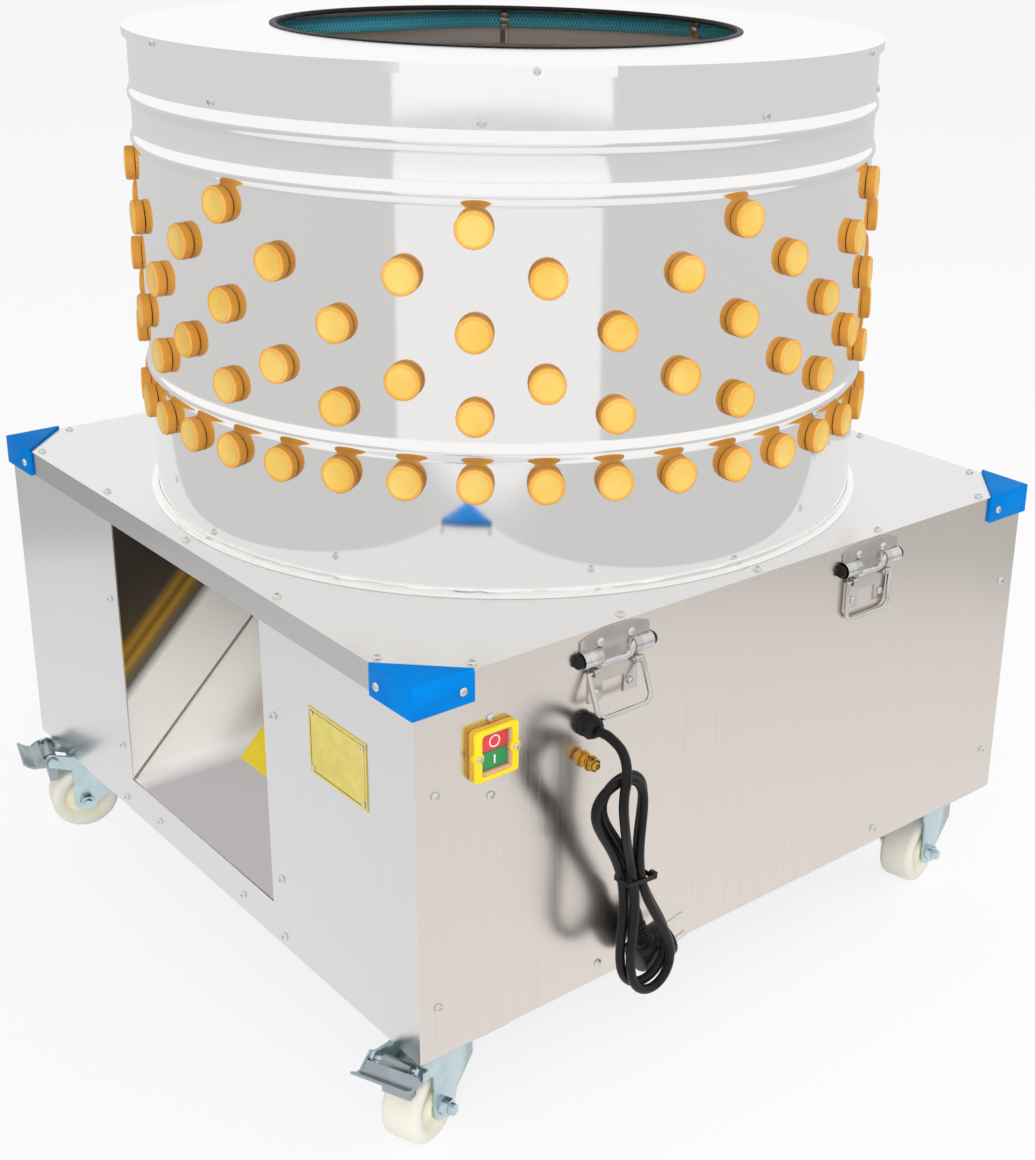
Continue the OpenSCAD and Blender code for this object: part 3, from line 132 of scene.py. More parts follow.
def chosen(obj, mode, test):
    """Enters edit mode with only those edges or faces selected that pass the test."""
    edit(obj, mode)
    bpy.ops.mesh.select_all(action="DESELECT")
    leave()
    for part in obj.data.edges if mode == "EDGE" else obj.data.polygons:
        part.select = test(part)
    bpy.ops.object.mode_set(mode="EDIT")


def outward(obj):
    """Merges doubles and points the faces outwards."""
    edit(obj, "VERT")
    bpy.ops.mesh.remove_doubles(threshold=1e-6)
    bpy.ops.mesh.normals_make_consistent(inside=False)
    leave()


def turned(name, profile, sides=32, closed=True):
    """A turned shape along Z from (radius, height) pairs in mm, drawn out ring by ring from a disc."""
    first_r, first_h = profile[0]
    bpy.ops.object.select_all(action="DESELECT")
    bpy.ops.mesh.primitive_circle_add(
        vertices=sides, radius=first_r * MM, location=(0, 0, first_h * MM),
        fill_type="NGON" if closed else "NOTHING")
    obj = bpy.context.active_object
    obj.name = name
    bpy.ops.object.transform_apply(location=True, rotation=True, scale=True)
    edit(obj, "VERT")
    last_r, last_h = first_r, first_h
    for radius, height in profile[1:]:
        rise = {"value": (0, 0, (height - last_h) * MM)}
        if closed:
            bpy.ops.mesh.extrude_region_move(TRANSFORM_OT_translate=rise)
        else:
            bpy.ops.mesh.extrude_edges_move(TRANSFORM_OT_translate=rise)
        grow = radius / last_r
        bpy.ops.transform.resize(value=(grow, grow, 1), center_override=(0, 0, height * MM))
        last_r, last_h = radius, height
    leave()
    outward(obj)
    return obj


def block(name, size, place=(0, 0, 0), bevel=0.0, steps=2):
    """A box of that size in millimetres, centred on place, with all its edges rounded when a bevel is given.
    """
    bpy.ops.object.select_all(action="DESELECT")
    bpy.ops.mesh.primitive_cube_add(size=1)
    obj = bpy.context.active_object
    obj.name = name
    obj.scale = [c * MM for c in size]
    obj.location = [c * MM for c in place]
    bpy.ops.object.transform_apply(location=True, rotation=True, scale=True)
    if bevel:
        edit(obj, "EDGE")
        bpy.ops.mesh.bevel(offset=bevel * MM, segments=steps, affect="EDGES")
        leave()
    return obj


def upright_block(name, size, place, corner):
    """A box whose four edges along Z are rounded to a corner radius."""
    obj = block(name, size, place)
    chosen(obj, "EDGE", lambda e: abs(
        obj.data.vertices[e.vertices[0]].co.z - obj.data.vertices[e.vertices[1]].co.z) > 1e-6)
    bpy.ops.mesh.bevel(offset=corner * MM, segments=5, affect="EDGES")
    leave()
    return obj


def finished(obj, kind, **settings):
    """Adds a modifier and applies it."""
    made = obj.modifiers.new(kind.lower(), kind)
    for key, value in settings.items():
        setattr(made, key, value)
    only(obj)
    bpy.ops.object.modifier_apply(modifier=made.name)


def softened(obj, width, steps=2):
    finished(obj, "BEVEL", width=width * MM, segments=steps, limit_method="ANGLE", angle_limit=SHARP)


def cut(obj, *tools):
    """Cuts the tools out of obj and deletes them."""
    for tool in tools:
        finished(obj, "BOOLEAN", object=tool, operation="DIFFERENCE")
        bpy.data.objects.remove(tool)


def smooth(obj, degrees=40):
    only(obj)
    bpy.ops.object.shade_smooth_by_angle(angle=math.radians(degrees))


def paint(obj, mat, test=None):
    """Gives obj a material, or only the faces whose centre (in mm) and normal pass the test."""
    if mat.name not in obj.data.materials:
        obj.data.materials.append(mat)
    index = obj.data.materials.find(mat.name)
    for face in obj.data.polygons:
        if test is None or test(face.center / MM, face.normal):
            face.material_index = index


def joined(name, parts):
    bpy.ops.object.select_all(action="DESELECT")
    for part in parts:
        part.select_set(True)
    bpy.context.view_layer.objects.active = parts[0]
    if len(parts) > 1:
        bpy.ops.object.join()
    parts[0].name = name
    parts[0].data.name = name
    return parts[0]


def place(obj, matrix):
    """Puts obj's mesh at its place, with the object itself left at the origin."""
    obj.data.transform(matrix)
    obj.data.update()
    return obj


def twin_of(obj, matrix):
    """A copy of obj with its own mesh, put at its place."""
    twin = obj.copy()
    twin.data = obj.data.copy()
    bpy.context.scene.collection.objects.link(twin)
    return place(twin, matrix)


def copies(name, model, matrices):
    """Copies of a model joined as one piece. The model itself is deleted."""
    made = [twin_of(model, matrix) for matrix in matrices]
    bpy.data.objects.remove(model)
    return joined(name, made)


def strand(name, run, radius, widths=None):
    """A round strand along points in metres, of one radius in millimetres or a width at each point."""
    line = bpy.data.curves.new(name, "CURVE")
    line.dimensions = "3D"
    line.bevel_depth = radius * MM
    line.bevel_resolution = 5
    line.use_fill_caps = True
    spline = line.splines.new("POLY")
    spline.points.add(len(run) - 1)
    for i, spot in enumerate(run):
        spline.points[i].co = (*spot, 1)
        spline.points[i].radius = widths[i] if widths else 1.0
    spline.use_smooth = True
    made = bpy.data.objects.new(name, line)
    bpy.context.scene.collection.objects.link(made)
    return made


def as_mesh(obj):
    only(obj)
    bpy.ops.object.convert(target="MESH")
    return bpy.context.active_object


def ride(obj, body, slot, *replaced):
    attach(obj, body)
    if replaced:
        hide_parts(*replaced)
    return obj


def at(x, y, z):
    return Matrix.Translation((x * MM, y * MM, z * MM))


def turn(degrees, axis):
    return Matrix.Rotation(math.radians(degrees), 4, axis)


# Places on the faces of the object: X along the face, Z out of it

def on_front(x, z, out=0.0):
    return at(x, -HALF - out, z) @ turn(90, "X")


def on_rear(x, z, out=0.0):
    return at(x, HALF + out, z) @ turn(180, "Z") @ turn(90, "X")


def on_left(y, z, out=0.0):
    return at(-HALF - out, y, z) @ turn(-90, "Z") @ turn(90, "X")


def on_right(y, z, out=0.0):
    return at(HALF + out, y, z) @ turn(90, "Z") @ turn(90, "X")


def on_drum(angle, z, radius=DRUM_R):
    return turn(angle, "Z") @ at(radius, 0, z) @ turn(90, "Y")


# Camera of the photograph, 1035 by 1160 pixels

AZIMUTH, ELEVATION, ROLL = math.radians(-41.23), math.radians(20.84), math.radians(1.50)
EYE = Vector((-0.87293, -1.14461, 0.88041))
FOCAL_PX, CENTRE_PX = 1706.24, (616.0, 519.2)
FRAME_W, FRAME_H = 1035, 1160
SENSOR = 36.0


def photo_camera():
    level = math.cos(ELEVATION)
    back = Vector((math.sin(AZIMUTH) * level, -math.cos(AZIMUTH) * level, math.sin(ELEVATION)))
    right = Vector((math.cos(AZIMUTH), math.sin(AZIMUTH), 0))
    up = back.cross(right)
    rolled = math.cos(ROLL) * right + math.sin(ROLL) * up
    upright = -math.sin(ROLL) * right + math.cos(ROLL) * up
    lens = bpy.data.cameras.new("photo_camera")
    lens.sensor_width = SENSOR
    lens.sensor_fit = "AUTO"
    lens.lens = FOCAL_PX / FRAME_H * SENSOR
    lens.shift_x = (FRAME_W / 2 - CENTRE_PX[0]) / FRAME_H
    lens.shift_y = (CENTRE_PX[1] - FRAME_H / 2) / FRAME_H
    camera = bpy.data.objects.new("photo_camera", lens)
    camera.matrix_world = Matrix((rolled, upright, back)).transposed().to_4x4()
    camera.location = EYE
    bpy.context.scene.collection.objects.link(camera)
    bpy.context.scene.camera = camera


# Mains lead: the run of the CAD drop and hank, in millimetres

GLAND_X, GLAND_Z, GLAND_LEN = -173.0, BASE_TOP - 73, 12.5
STUD = (GLAND_X - 2.5, BASE_TOP - 100)
HANK_TILT = math.radians(12)
HANK_UP = Vector((-math.sin(HANK_TILT), 0, math.cos(HANK_TILT)))
HANK_SIDE = Vector((math.cos(HANK_TILT), 0, math.sin(HANK_TILT)))
NOSE = Vector((GLAND_X, -HALF - GLAND_LEN, GLAND_Z))
DROP_END = NOSE + Vector((5, -33.5, -97))
DROP = [NOSE + Vector(p) for p in (
    (0, 0, 0), (0, -6, 0), (0, -12, 0), (-1.5, -26, -2.6), (-4.2, -35.4, -8.8), (-7.4, -40.4, -18.8),
    (-10, -41.4, -29.5), (-10.3, -41.4, -41.5), (-8.4, -40.7, -53.5), (-5.4, -39, -65.5),
    (-1.3, -36.4, -77.5))]
DROP += [DROP_END + CORD_D * HANK_UP, DROP_END]
HANK_LEAD, WAIST_FIRST, WAIST_SECOND = 14.0, 3.8, 8.2
HANK_LAYER, HANK_BACK, HANK_TAIL, HANK_ACROSS = 7.4, 18.8, 60.0, 14.0
WAIST = DROP_END - HANK_LEAD * HANK_UP + WAIST_FIRST * HANK_SIDE
LOOP_HALF, LOOP_SHRINK, LOOP_BLUNT, LOOP_LOW = 97.5, 4.0, 7.0, 6.5
LOOP_WIDE, LOOP_TAPER, LOOP_FAN = 58.0, 23.0, 4.0
LOOP_POINTS, TAIL_POINTS = 72, 16


def ease(t):
    t = min(max(t, 0), 1)
    return t * t * (3 - 2 * t)


def loop_point(turns):
    """A spot on the hank's two turns, pinched at the waist: across, up and towards the panel, in mm."""
    s, c = math.sin(2 * math.pi * turns), math.cos(2 * math.pi * turns)
    half = LOOP_HALF - LOOP_SHRINK * turns
    up = -((half + LOOP_BLUNT) * s - LOOP_BLUNT * s ** 3 + LOOP_LOW * s * s)
    waist = (WAIST_FIRST + (WAIST_SECOND - WAIST_FIRST) * ease((turns - 0.5) / 0.5)
             - WAIST_SECOND * ease((turns - 1.5) / 0.5))
    side = -c * (waist + LOOP_WIDE * s * s - LOOP_TAPER * s ** 4)
    side += LOOP_FAN * (2 * turns - 2.5) * max(0, -s) ** 2
    return Vector((side, up, HANK_LAYER * ease((turns - 0.72) / 0.28)))


def tail_point(t):
    return (HANK_ACROSS * ease((t - 0.25) / 0.75), -HANK_TAIL * t, HANK_LAYER + HANK_BACK * ease(t / 0.9))


def in_hank(q):
    return WAIST + q[0] * HANK_SIDE + q[1] * HANK_UP + Vector((0, q[2], 0))


def rounded_run(points, steps):
    """Points along a smooth curve through the given ones."""
    run = []
    for i in range(len(points) - 1):
        a, b = points[max(i - 1, 0)], points[i]
        c, d = points[i + 1], points[min(i + 2, len(points) - 1)]
        for k in range(steps):
            t = k / steps
            run.append(0.5 * (2 * b + (c - a) * t + (2 * a - 5 * b + 4 * c - d) * t * t
                              + (3 * b - a - 3 * c + d) * t ** 3))
    return run


def lead_run():
    run = rounded_run(DROP, 4)
    run += [in_hank(q) for q in ((-WAIST_FIRST, HANK_LEAD, 0), (-WAIST_FIRST, HANK_LEAD - CORD_D, 0))]
    run += [in_hank(loop_point(i / LOOP_POINTS)) for i in range(2 * LOOP_POINTS + 1)]
    run += [in_hank(tail_point(k / TAIL_POINTS)) for k in range(1, TAIL_POINTS + 1)]
    run.append(in_hank((HANK_ACROSS, -HANK_TAIL - CORD_D, HANK_LAYER + HANK_BACK)))
    return [p * MM for p in run]


# Materials

def polished_sheet():
    """Mirror-rolled stainless sheet: clear reflections, wavy over about 110 mm, hazy in 17 mm spots."""
    mat, skin = material("polished_stainless")
    tree = mat.node_tree
    place_in = add(tree, "ShaderNodeTexCoord")
    stretch = add(tree, "ShaderNodeMapping", [("Vector", place_in.outputs["Object"]), ("Scale", (9, 9, 1.2))])
    wave = add(tree, "ShaderNodeTexNoise", [
        ("Vector", stretch.outputs["Vector"]), ("Scale", 1.0), ("Detail", 2.0)])
    dent = add(tree, "ShaderNodeBump", [
        ("Height", wave.outputs["Fac"]), ("Strength", 0.04), ("Distance", 0.004)])
    fine = add(tree, "ShaderNodeTexNoise", [
        ("Vector", place_in.outputs["Object"]), ("Scale", 60.0), ("Detail", 4.0)])
    rough = add(tree, "ShaderNodeMapRange", [
        ("Value", fine.outputs["Fac"]), ("To Min", 0.05), ("To Max", 0.10)])
    feed(tree, skin, [("Base Color", linear("#F8F7F5")), ("Metallic", 1.0),
                      ("Roughness", rough.outputs["Result"]), ("Normal", dent.outputs["Normal"])])
    return mat


def brushed_sheet(name, code, grain, rough_low, rough_high):
    """Cold-rolled stainless sheet with a brushed grain along one direction and a cloudy gloss.

    The grain is given in hairs to a metre, coarser than real ones so that they show.
    """
    mat, skin = material(name)
    tree = mat.node_tree
    place_in = add(tree, "ShaderNodeTexCoord")
    stretch = add(tree, "ShaderNodeMapping", [("Vector", place_in.outputs["Object"]), ("Scale", grain)])
    hair = add(tree, "ShaderNodeTexNoise", [
        ("Vector", stretch.outputs["Vector"]), ("Scale", 1.0), ("Detail", 3.0)])
    cloud = add(tree, "ShaderNodeTexNoise", [
        ("Vector", place_in.outputs["Object"]), ("Scale", 3.0), ("Detail", 2.0)])
    both = add(tree, "ShaderNodeMath", [
        (0, hair.outputs["Fac"]), (1, cloud.outputs["Fac"])], operation="MULTIPLY")
    rough = add(tree, "ShaderNodeMapRange", [
        ("Value", both.outputs["Value"]), ("From Min", 0.1), ("From Max", 0.45),
        ("To Min", rough_low), ("To Max", rough_high)])
    tint = add(tree, "ShaderNodeValToRGB", [("Fac", hair.outputs["Fac"])])
    tone = linear(code)
    ramp_colours(tint, (0.3, dimmed(tone, 0.955)), (0.7, tone))
    dent = add(tree, "ShaderNodeBump", [
        ("Height", hair.outputs["Fac"]), ("Strength", 0.04), ("Distance", 0.0002)])
    feed(tree, skin, [("Base Color", tint.outputs["Color"]), ("Metallic", 1.0),
                      ("Roughness", rough.outputs["Result"]), ("Normal", dent.outputs["Normal"])])
    return mat


def painted_reflection_wall():
    """Chute wall of pale sheet that mirrors little, with a painted reflection in dark and brown-gold bands
    near its top and painted shade in a thin line along its crease with the slope.
    """
    mat, skin = material("chute_wall_painted_reflection")
    tree = mat.node_tree
    place_in = add(tree, "ShaderNodeTexCoord")
    rise = add(tree, "ShaderNodeVectorMath", [
        (0, place_in.outputs["Object"]), (1, (-1, 0, 1))], operation="DOT_PRODUCT")
    cloud = add(tree, "ShaderNodeTexNoise", [
        ("Vector", place_in.outputs["Object"]), ("Scale", 14.0), ("Detail", 3.0)])
    reflection_spread = add(tree, "ShaderNodeMapRange", [
        ("Value", rise.outputs["Value"]), ("From Min", 0.44), ("From Max", 0.62)])
    tint = add(tree, "ShaderNodeValToRGB", [("Fac", reflection_spread.outputs["Result"])])
    # Painted shade in a thin dark line at the crease with the slope, then pale sheet, then a painted
    # reflection in dark and brown-gold bands across the upper corner
    bands = ((0.016, "#80776E"), (0.022, "#F0EDE8"), (0.42, "#F0EDE8"), (0.50, "#5B544A"), (0.55, "#6B5A3A"),
             (0.60, "#A97F22"), (0.64, "#6E5216"), (0.68, "#9A7424"), (0.75, "#3F362D"), (1.0, "#332B25"))
    ramp_colours(tint, *[(spot, linear(code)) for spot, code in bands])
    rough = add(tree, "ShaderNodeMapRange", [
        ("Value", cloud.outputs["Fac"]), ("To Min", 0.15), ("To Max", 0.3)])
    feed(tree, skin, [("Base Color", tint.outputs["Color"]), ("Metallic", 0.1),
                      ("Roughness", rough.outputs["Result"])])
    return mat


def painted_shade_slope():
    """Chute slope of bright sheet, greyer below a slanting line; that grey is painted shade."""
    mat, skin = material("chute_slope_painted_shade")
    tree = mat.node_tree
    place_in = add(tree, "ShaderNodeTexCoord")
    rise = add(tree, "ShaderNodeVectorMath", [
        (0, place_in.outputs["Object"]), (1, (1, 0.588, 0))], operation="DOT_PRODUCT")
    band = add(tree, "ShaderNodeMapRange", [
        ("Value", rise.outputs["Value"]), ("From Min", -0.262), ("From Max", -0.242)])
    tint = add(tree, "ShaderNodeValToRGB", [("Fac", band.outputs["Result"])])
    # Painted shade: grey below the slanting line, bright sheet above it
    ramp_colours(tint, (0.0, linear("#BAB5B5")), (1.0, linear("#FFFEFC")))
    feed(tree, skin, [("Base Color", tint.outputs["Color"]), ("Metallic", 1.0), ("Roughness", 0.3)])
    return mat


def plated(name, code, rough_low, rough_high, spot=40.0):
    """Plated or turned metal: one colour with a mottled gloss, given in spots to a metre."""
    mat, skin = material(name)
    tree = mat.node_tree
    place_in = add(tree, "ShaderNodeTexCoord")
    mottle = add(tree, "ShaderNodeTexNoise", [
        ("Vector", place_in.outputs["Object"]), ("Scale", spot), ("Detail", 3.0)])
    rough = add(tree, "ShaderNodeMapRange", [
        ("Value", mottle.outputs["Fac"]), ("To Min", rough_low), ("To Max", rough_high)])
    tint = add(tree, "ShaderNodeValToRGB", [("Fac", mottle.outputs["Fac"])])
    tone = linear(code)
    ramp_colours(tint, (0.35, dimmed(tone, 0.88)), (0.65, tone))
    feed(tree, skin, [("Base Color", tint.outputs["Color"]), ("Metallic", 1.0),
                      ("Roughness", rough.outputs["Result"])])
    return mat


def moulded(name, dark, light, roughness, grit=900.0, dent_mm=0.05, gloss=0.5):
    """Moulded plastic or rubber: a colour drift over about 40 mm and a fine grain from the mould.

    The grain, about 1 to 2 mm wide, is coarser than the real one so that it shows.
    """
    mat, skin = material(name)
    tree = mat.node_tree
    place_in = add(tree, "ShaderNodeTexCoord")
    drift = add(tree, "ShaderNodeTexNoise", [
        ("Vector", place_in.outputs["Object"]), ("Scale", 25.0), ("Detail", 3.0)])
    tint = add(tree, "ShaderNodeValToRGB", [("Fac", drift.outputs["Fac"])])
    ramp_colours(tint, (0.35, linear(dark)), (0.65, linear(light)))
    grain = add(tree, "ShaderNodeTexNoise", [
        ("Vector", place_in.outputs["Object"]), ("Scale", grit), ("Detail", 2.0)])
    dent = add(tree, "ShaderNodeBump", [
        ("Height", grain.outputs["Fac"]), ("Strength", 0.25), ("Distance", dent_mm * MM)])
    feed(tree, skin, [("Base Color", tint.outputs["Color"]), ("Normal", dent.outputs["Normal"]),
                      ("Roughness", roughness), ("Specular IOR Level", gloss)])
    return mat


# Millimetres along the hose between threads of the braid, and threads round it to either hand
THREAD_GAP, THREADS = 3.4, 6.0


def braided_hose():
    """Glossy teal PVC hose with a diamond braid that shows as paler crossing threads."""
    mat, skin = material("teal_braided_pvc")
    tree = mat.node_tree
    lie = add(tree, "ShaderNodeAttribute", attribute_name="lie")
    parts = add(tree, "ShaderNodeSeparateXYZ", [("Vector", lie.outputs["Vector"])])
    threads = []
    for hand in (-THREADS, THREADS):
        slant = add(tree, "ShaderNodeMath", [(0, parts.outputs["Y"]), (1, hand)], operation="MULTIPLY")
        run = add(tree, "ShaderNodeMath", [
            (0, parts.outputs["X"]), (1, 2 * math.pi / THREAD_GAP)], operation="MULTIPLY")
        both = add(tree, "ShaderNodeMath", [
            (0, run.outputs["Value"]), (1, slant.outputs["Value"])], operation="ADD")
        wave = add(tree, "ShaderNodeMath", [(0, both.outputs["Value"])], operation="SINE")
        threads.append(wave.outputs["Value"])
    crossed = add(tree, "ShaderNodeMath", [(0, threads[0]), (1, threads[1])], operation="MAXIMUM")
    tint = add(tree, "ShaderNodeValToRGB", [("Fac", crossed.outputs["Value"])])
    # These tones are brighter than the hose's own teal: painted light for the shade it lies in under the lid
    ramp_colours(tint, (0.35, linear("#18BCE8")), (0.95, linear("#80EAFF")))
    dent = add(tree, "ShaderNodeBump", [
        ("Height", crossed.outputs["Value"]), ("Strength", 0.2), ("Distance", 0.0003)])
    feed(tree, skin, [("Base Color", tint.outputs["Color"]), ("Normal", dent.outputs["Normal"]),
                      ("Roughness", 0.28)])
    return mat


drum_steel = polished_sheet()
# The cabinet's one stainless sheet in four tints, one for each way its faces turn: painted light and shade,
# warmer on the front and darkest on the top panel's side lips
front_steel = brushed_sheet("brushed_front_sheet", "#E2DAD3", (700, 700, 6), 0.2, 0.3)
side_steel = brushed_sheet("brushed_side_sheet", "#DCDBDC", (700, 700, 6), 0.18, 0.28)
top_steel = brushed_sheet("brushed_top_sheet", "#E8E8E8", (6, 700, 700), 0.2, 0.3)
shaded_lip_steel = brushed_sheet("brushed_lip_sheet_painted_shade", "#BEBCBC", (700, 6, 700), 0.2, 0.3)
inner_steel = brushed_sheet("drum_inside_sheet", "#F6F5F2", (5, 5, 300), 0.35, 0.5)
slope_steel = painted_shade_slope()
wall_steel = painted_reflection_wall()
pressed_steel = plated("pressed_steel", "#D9DADB", 0.14, 0.3)
wire_steel = plated("bright_wire", "#D6D3CF", 0.1, 0.22)
screw_steel = plated("bright_screws", "#E2E2E0", 0.12, 0.26, 400.0)
zinc = plated("blue_zinc_plate", "#C3D6DC", 0.16, 0.34, 60.0)
pedal_zinc = plated("dull_zinc_plate", "#A6B0B5", 0.25, 0.4, 60.0)
handle_steel = plated("handle_sheet", "#CBC5BF", 0.14, 0.3)
machined = plated("machined_steel", "#A9ABAD", 0.2, 0.4)
brass = plated("bright_brass", "#D9AE52", 0.12, 0.25, 200.0)
plate_brass = plated("lacquered_plate", "#F0DE78", 0.28, 0.42, 90.0)
plate_border = moulded("plate_border_ink", "#3A3322", "#453D2A", 0.4)
iron = plated("grey_iron", "#4B4D50", 0.45, 0.6)
frame_paint = moulded("frame_enamel", "#4A4C50", "#54565A", 0.4)
motor_paint = moulded("motor_enamel", "#27507F", "#2E5A8C", 0.35)
lid_white = brushed_sheet("bright_lid_sheet", "#FAFAFA", (5, 700, 700), 0.16, 0.26)
# One amber rubber in three tints by part of the head: the paler face is painted light, the darker rim and
# sides painted shade
finger_face = moulded("amber_rubber_face", "#EBBE56", "#F2CE72", 0.5, 700.0, 0.1, 0.3)
finger_rim = moulded("amber_rubber_rim", "#E9A844", "#F2B95A", 0.5, 700.0, 0.1, 0.3)
finger_side = moulded("amber_rubber_side", "#CB8A30", "#DC9A3E", 0.55, 700.0, 0.1, 0.3)
black_rubber = moulded("black_rubber", "#0C0C0D", "#131315", 0.5, gloss=0.3)
cord_rubber = moulded("rubber_sheath", "#0A0A0B", "#121214", 0.4, 500.0, gloss=0.25)
black_plastic = moulded("black_nylon", "#0B0B0C", "#121213", 0.38, gloss=0.3)
hose_pvc = braided_hose()
blue_plastic = moulded("blue_polypropylene", "#007CD6", "#0086E0", 0.5, gloss=0.03)
yellow_plastic = moulded("yellow_polycarbonate", "#F5D410", "#FCDE22", 0.32, gloss=0.35)
box_plastic = moulded("amber_switch_box", "#DDA02A", "#E9B23A", 0.35)
red_plastic = moulded("red_key", "#D63A3E", "#DF4549", 0.35, gloss=0.3)
green_plastic = moulded("green_key", "#2C8A50", "#37985B", 0.35, gloss=0.3)
white_ink = moulded("white_mark", "#F3EFEC", "#FBF8F6", 0.5)
seal_plastic = moulded("beige_seal", "#CFA07C", "#DDB08C", 0.45)
nylon = moulded("ivory_nylon", "#EAE6D8", "#F2EEE2", 0.38)
hub_nylon = moulded("cream_nylon_hub", "#F0EBD0", "#F6F2DC", 0.4)


# Dressed CAD nodes

def dress(names, mat, edge=0.3, flat=False):
    """Gives CAD nodes their material. Flat sheet stays sharp, the rest gets edges rounded to so many mm."""
    for name in names.split():
        obj = nodes[name]
        obj.data.materials.clear()
        obj.data.materials.append(mat)
        for face in obj.data.polygons:
            face.use_smooth = not flat
        if flat:
            continue
        weld = obj.modifiers.new("weld", "WELD")
        weld.merge_threshold = 2e-6
        if edge:
            round_edge = obj.modifiers.new("edge", "BEVEL")
            round_edge.width = edge * MM
            round_edge.segments = 2
            round_edge.limit_method = "ANGLE"
            round_edge.angle_limit = SHARP
            round_edge.harden_normals = True


# Faces get the four tints of one sheet by the way they face: painted light and shade
dress("base_top_panel", top_steel, flat=True)
paint(nodes["base_top_panel"], front_steel, lambda c, n: abs(n.y) > 0.7)
paint(nodes["base_top_panel"], shaded_lip_steel, lambda c, n: abs(n.x) > 0.7)
dress("front_panel rear_panel", front_steel, flat=True)
dress("right_panel chute_side_panels chute_sill", side_steel, flat=True)
dress("chute_slope", slope_steel, flat=True)
dress("chute_walls", wall_steel, flat=True)
dress("drum_foot_ring", drum_steel, 0.4)
dress("lid_ring", lid_white, flat=True)
paint(nodes["lid_ring"], drum_steel, lambda c, n: abs(n.z) < 0.5)
dress("opening_trim", black_rubber, 0.8)
dress("feather_plate plate_paddles", drum_steel, 0.4)
dress("base_frame bearing_beams motor_bracket", frame_paint, 0.5)
dress("main_shaft plate_hub motor_shaft", machined, 0.4)
dress("shaft_bearings driven_pulley motor_pulley", iron, 0.6)
dress("drive_belt", black_rubber, 0.5)
dress("motor_body", motor_paint, 0.6)
dress("motor_terminal_box", black_plastic, 1.5)
dress("hose_clips", pressed_steel, 0.2)
dress("hose_inlet", brass, 0.3)
dress("corner_guards", blue_plastic, 0.9)
dress("handle_plates", handle_steel, 0.3)
dress("bail_front_near bail_front_far bail_rear_near bail_rear_far", wire_steel, 0.0)
dress("caster_plates caster_fork_fl caster_fork_rl caster_fork_fr caster_fork_rr", zinc, 0.4)
dress("brake_pedal_fl brake_pedal_rl", pedal_zinc, 0.4)
dress("plug_pins", screw_steel, 0.6)


# Drum and hose

BEADS, BEAD_HALF, BEAD_RISE = (109.0, 290.0, 324.5), 8.5, 2.5
HOSE_R, HOSE_RING, HOSE_Z, HOSE_BEND = 7.75, 276.0, DRUM_TOP - 18, 60.0
FLAT_MID, FLAT_HALF, INLET, TEE = 92.0, 36.0, 350.0, 2.8


def drum_wall():
    """Drum wall: one rolled sheet with three soft beads, its seams closed at the top and the foot."""
    outer = [(DRUM_R, 0.0)]
    for height in BEADS:
        for k in range(-7, 8):
            rise = BEAD_RISE * (0.5 + 0.5 * math.cos(math.pi * k / 7))
            outer.append((DRUM_R + rise, height + k * BEAD_HALF / 7))
    outer.append((DRUM_R, DRUM_TOP - DRUM_T - BASE_TOP))
    loop = outer + [(r - DRUM_T, h) for r, h in reversed(outer)] + outer[:1]
    wall = turned("drum_wall", [(r, BASE_TOP + h) for r, h in loop], 180, closed=False)
    paint(wall, drum_steel)
    paint(wall, inner_steel, lambda c, n: n.x * c.x + n.y * c.y < 0)
    smooth(wall, 30)
    ride(wall, "cabinet", "stainless", "drum_shell")


def arc(centre, radius, start, end, step=3.0):
    """Points of a level arc in millimetres, from one angle to another in degrees."""
    count = max(int(abs(end - start) / step), 2)
    spots = []
    for i in range(count + 1):
        a = math.radians(start + (end - start) * i / count)
        spots.append(Vector((centre[0] + radius * math.cos(a), centre[1] + radius * math.sin(a), 0)))
    return spots


def ring_hose():
    """Hose ring with a straight stretch across its far side, and how each spot lies along and round it."""
    half = math.radians(FLAT_HALF)
    bend_x, bend_y = (HOSE_RING - HOSE_BEND) * math.cos(half), (HOSE_RING - HOSE_BEND) * math.sin(half)
    tee_at = INLET - FLAT_MID
    first = arc((0, 0), HOSE_RING, tee_at + TEE, 360 - FLAT_HALF)
    second = arc((bend_x, -bend_y), HOSE_BEND, -FLAT_HALF, 0)
    third = arc((bend_x, bend_y), HOSE_BEND, 0, FLAT_HALF)
    last = arc((0, 0), HOSE_RING, FLAT_HALF, tee_at - TEE)
    straight = [second[-1].lerp(third[0], k / 20) for k in range(1, 20)]
    route = first + second[1:] + straight + third + last[1:]
    settle = turn(FLAT_MID, "Z")
    run = [settle @ (p * MM) + Vector((0, 0, HOSE_Z * MM)) for p in route]
    hose = as_mesh(strand("braided_hose", run, HOSE_R))
    reach = [0.0]
    for a, b in zip(run[:-1], run[1:]):
        reach.append(reach[-1] + (b - a).length / MM)
    lie = hose.data.attributes.new("lie", "FLOAT_VECTOR", "POINT")
    for vertex, value in zip(hose.data.vertices, lie.data):
        near = min(range(len(run)), key=lambda i: (run[i] - vertex.co).length_squared)
        out = (vertex.co - run[near]).xy.dot(run[near].xy.normalized())
        value.vector = (reach[near], math.atan2(vertex.co.z - run[near].z, -out), 0)
    outward(hose)
    paint(hose, hose_pvc)
    smooth(hose, 60)
    ride(hose, "cabinet", "hose", "water_hose")


# Plucking fingers

# Rows round the drum: height over the cabinet, first column, columns to the next finger, how many
FINGER_ROWS = ((86, 0, 1, 38), (136, 0, 2, 19), (160, 1, 2, 19), (196, 0, 2, 19), (234, 1, 2, 19),
               (268, -16, 4, 9))
FIRST_COLUMN, COLUMN_STEP = 228.4, 360 / 38

# Rings on the feather plate: radius and how many
PLATE_RINGS = ((80, 8), (130, 12), (180, 20))
PLATE_FOOT = BASE_TOP + 30


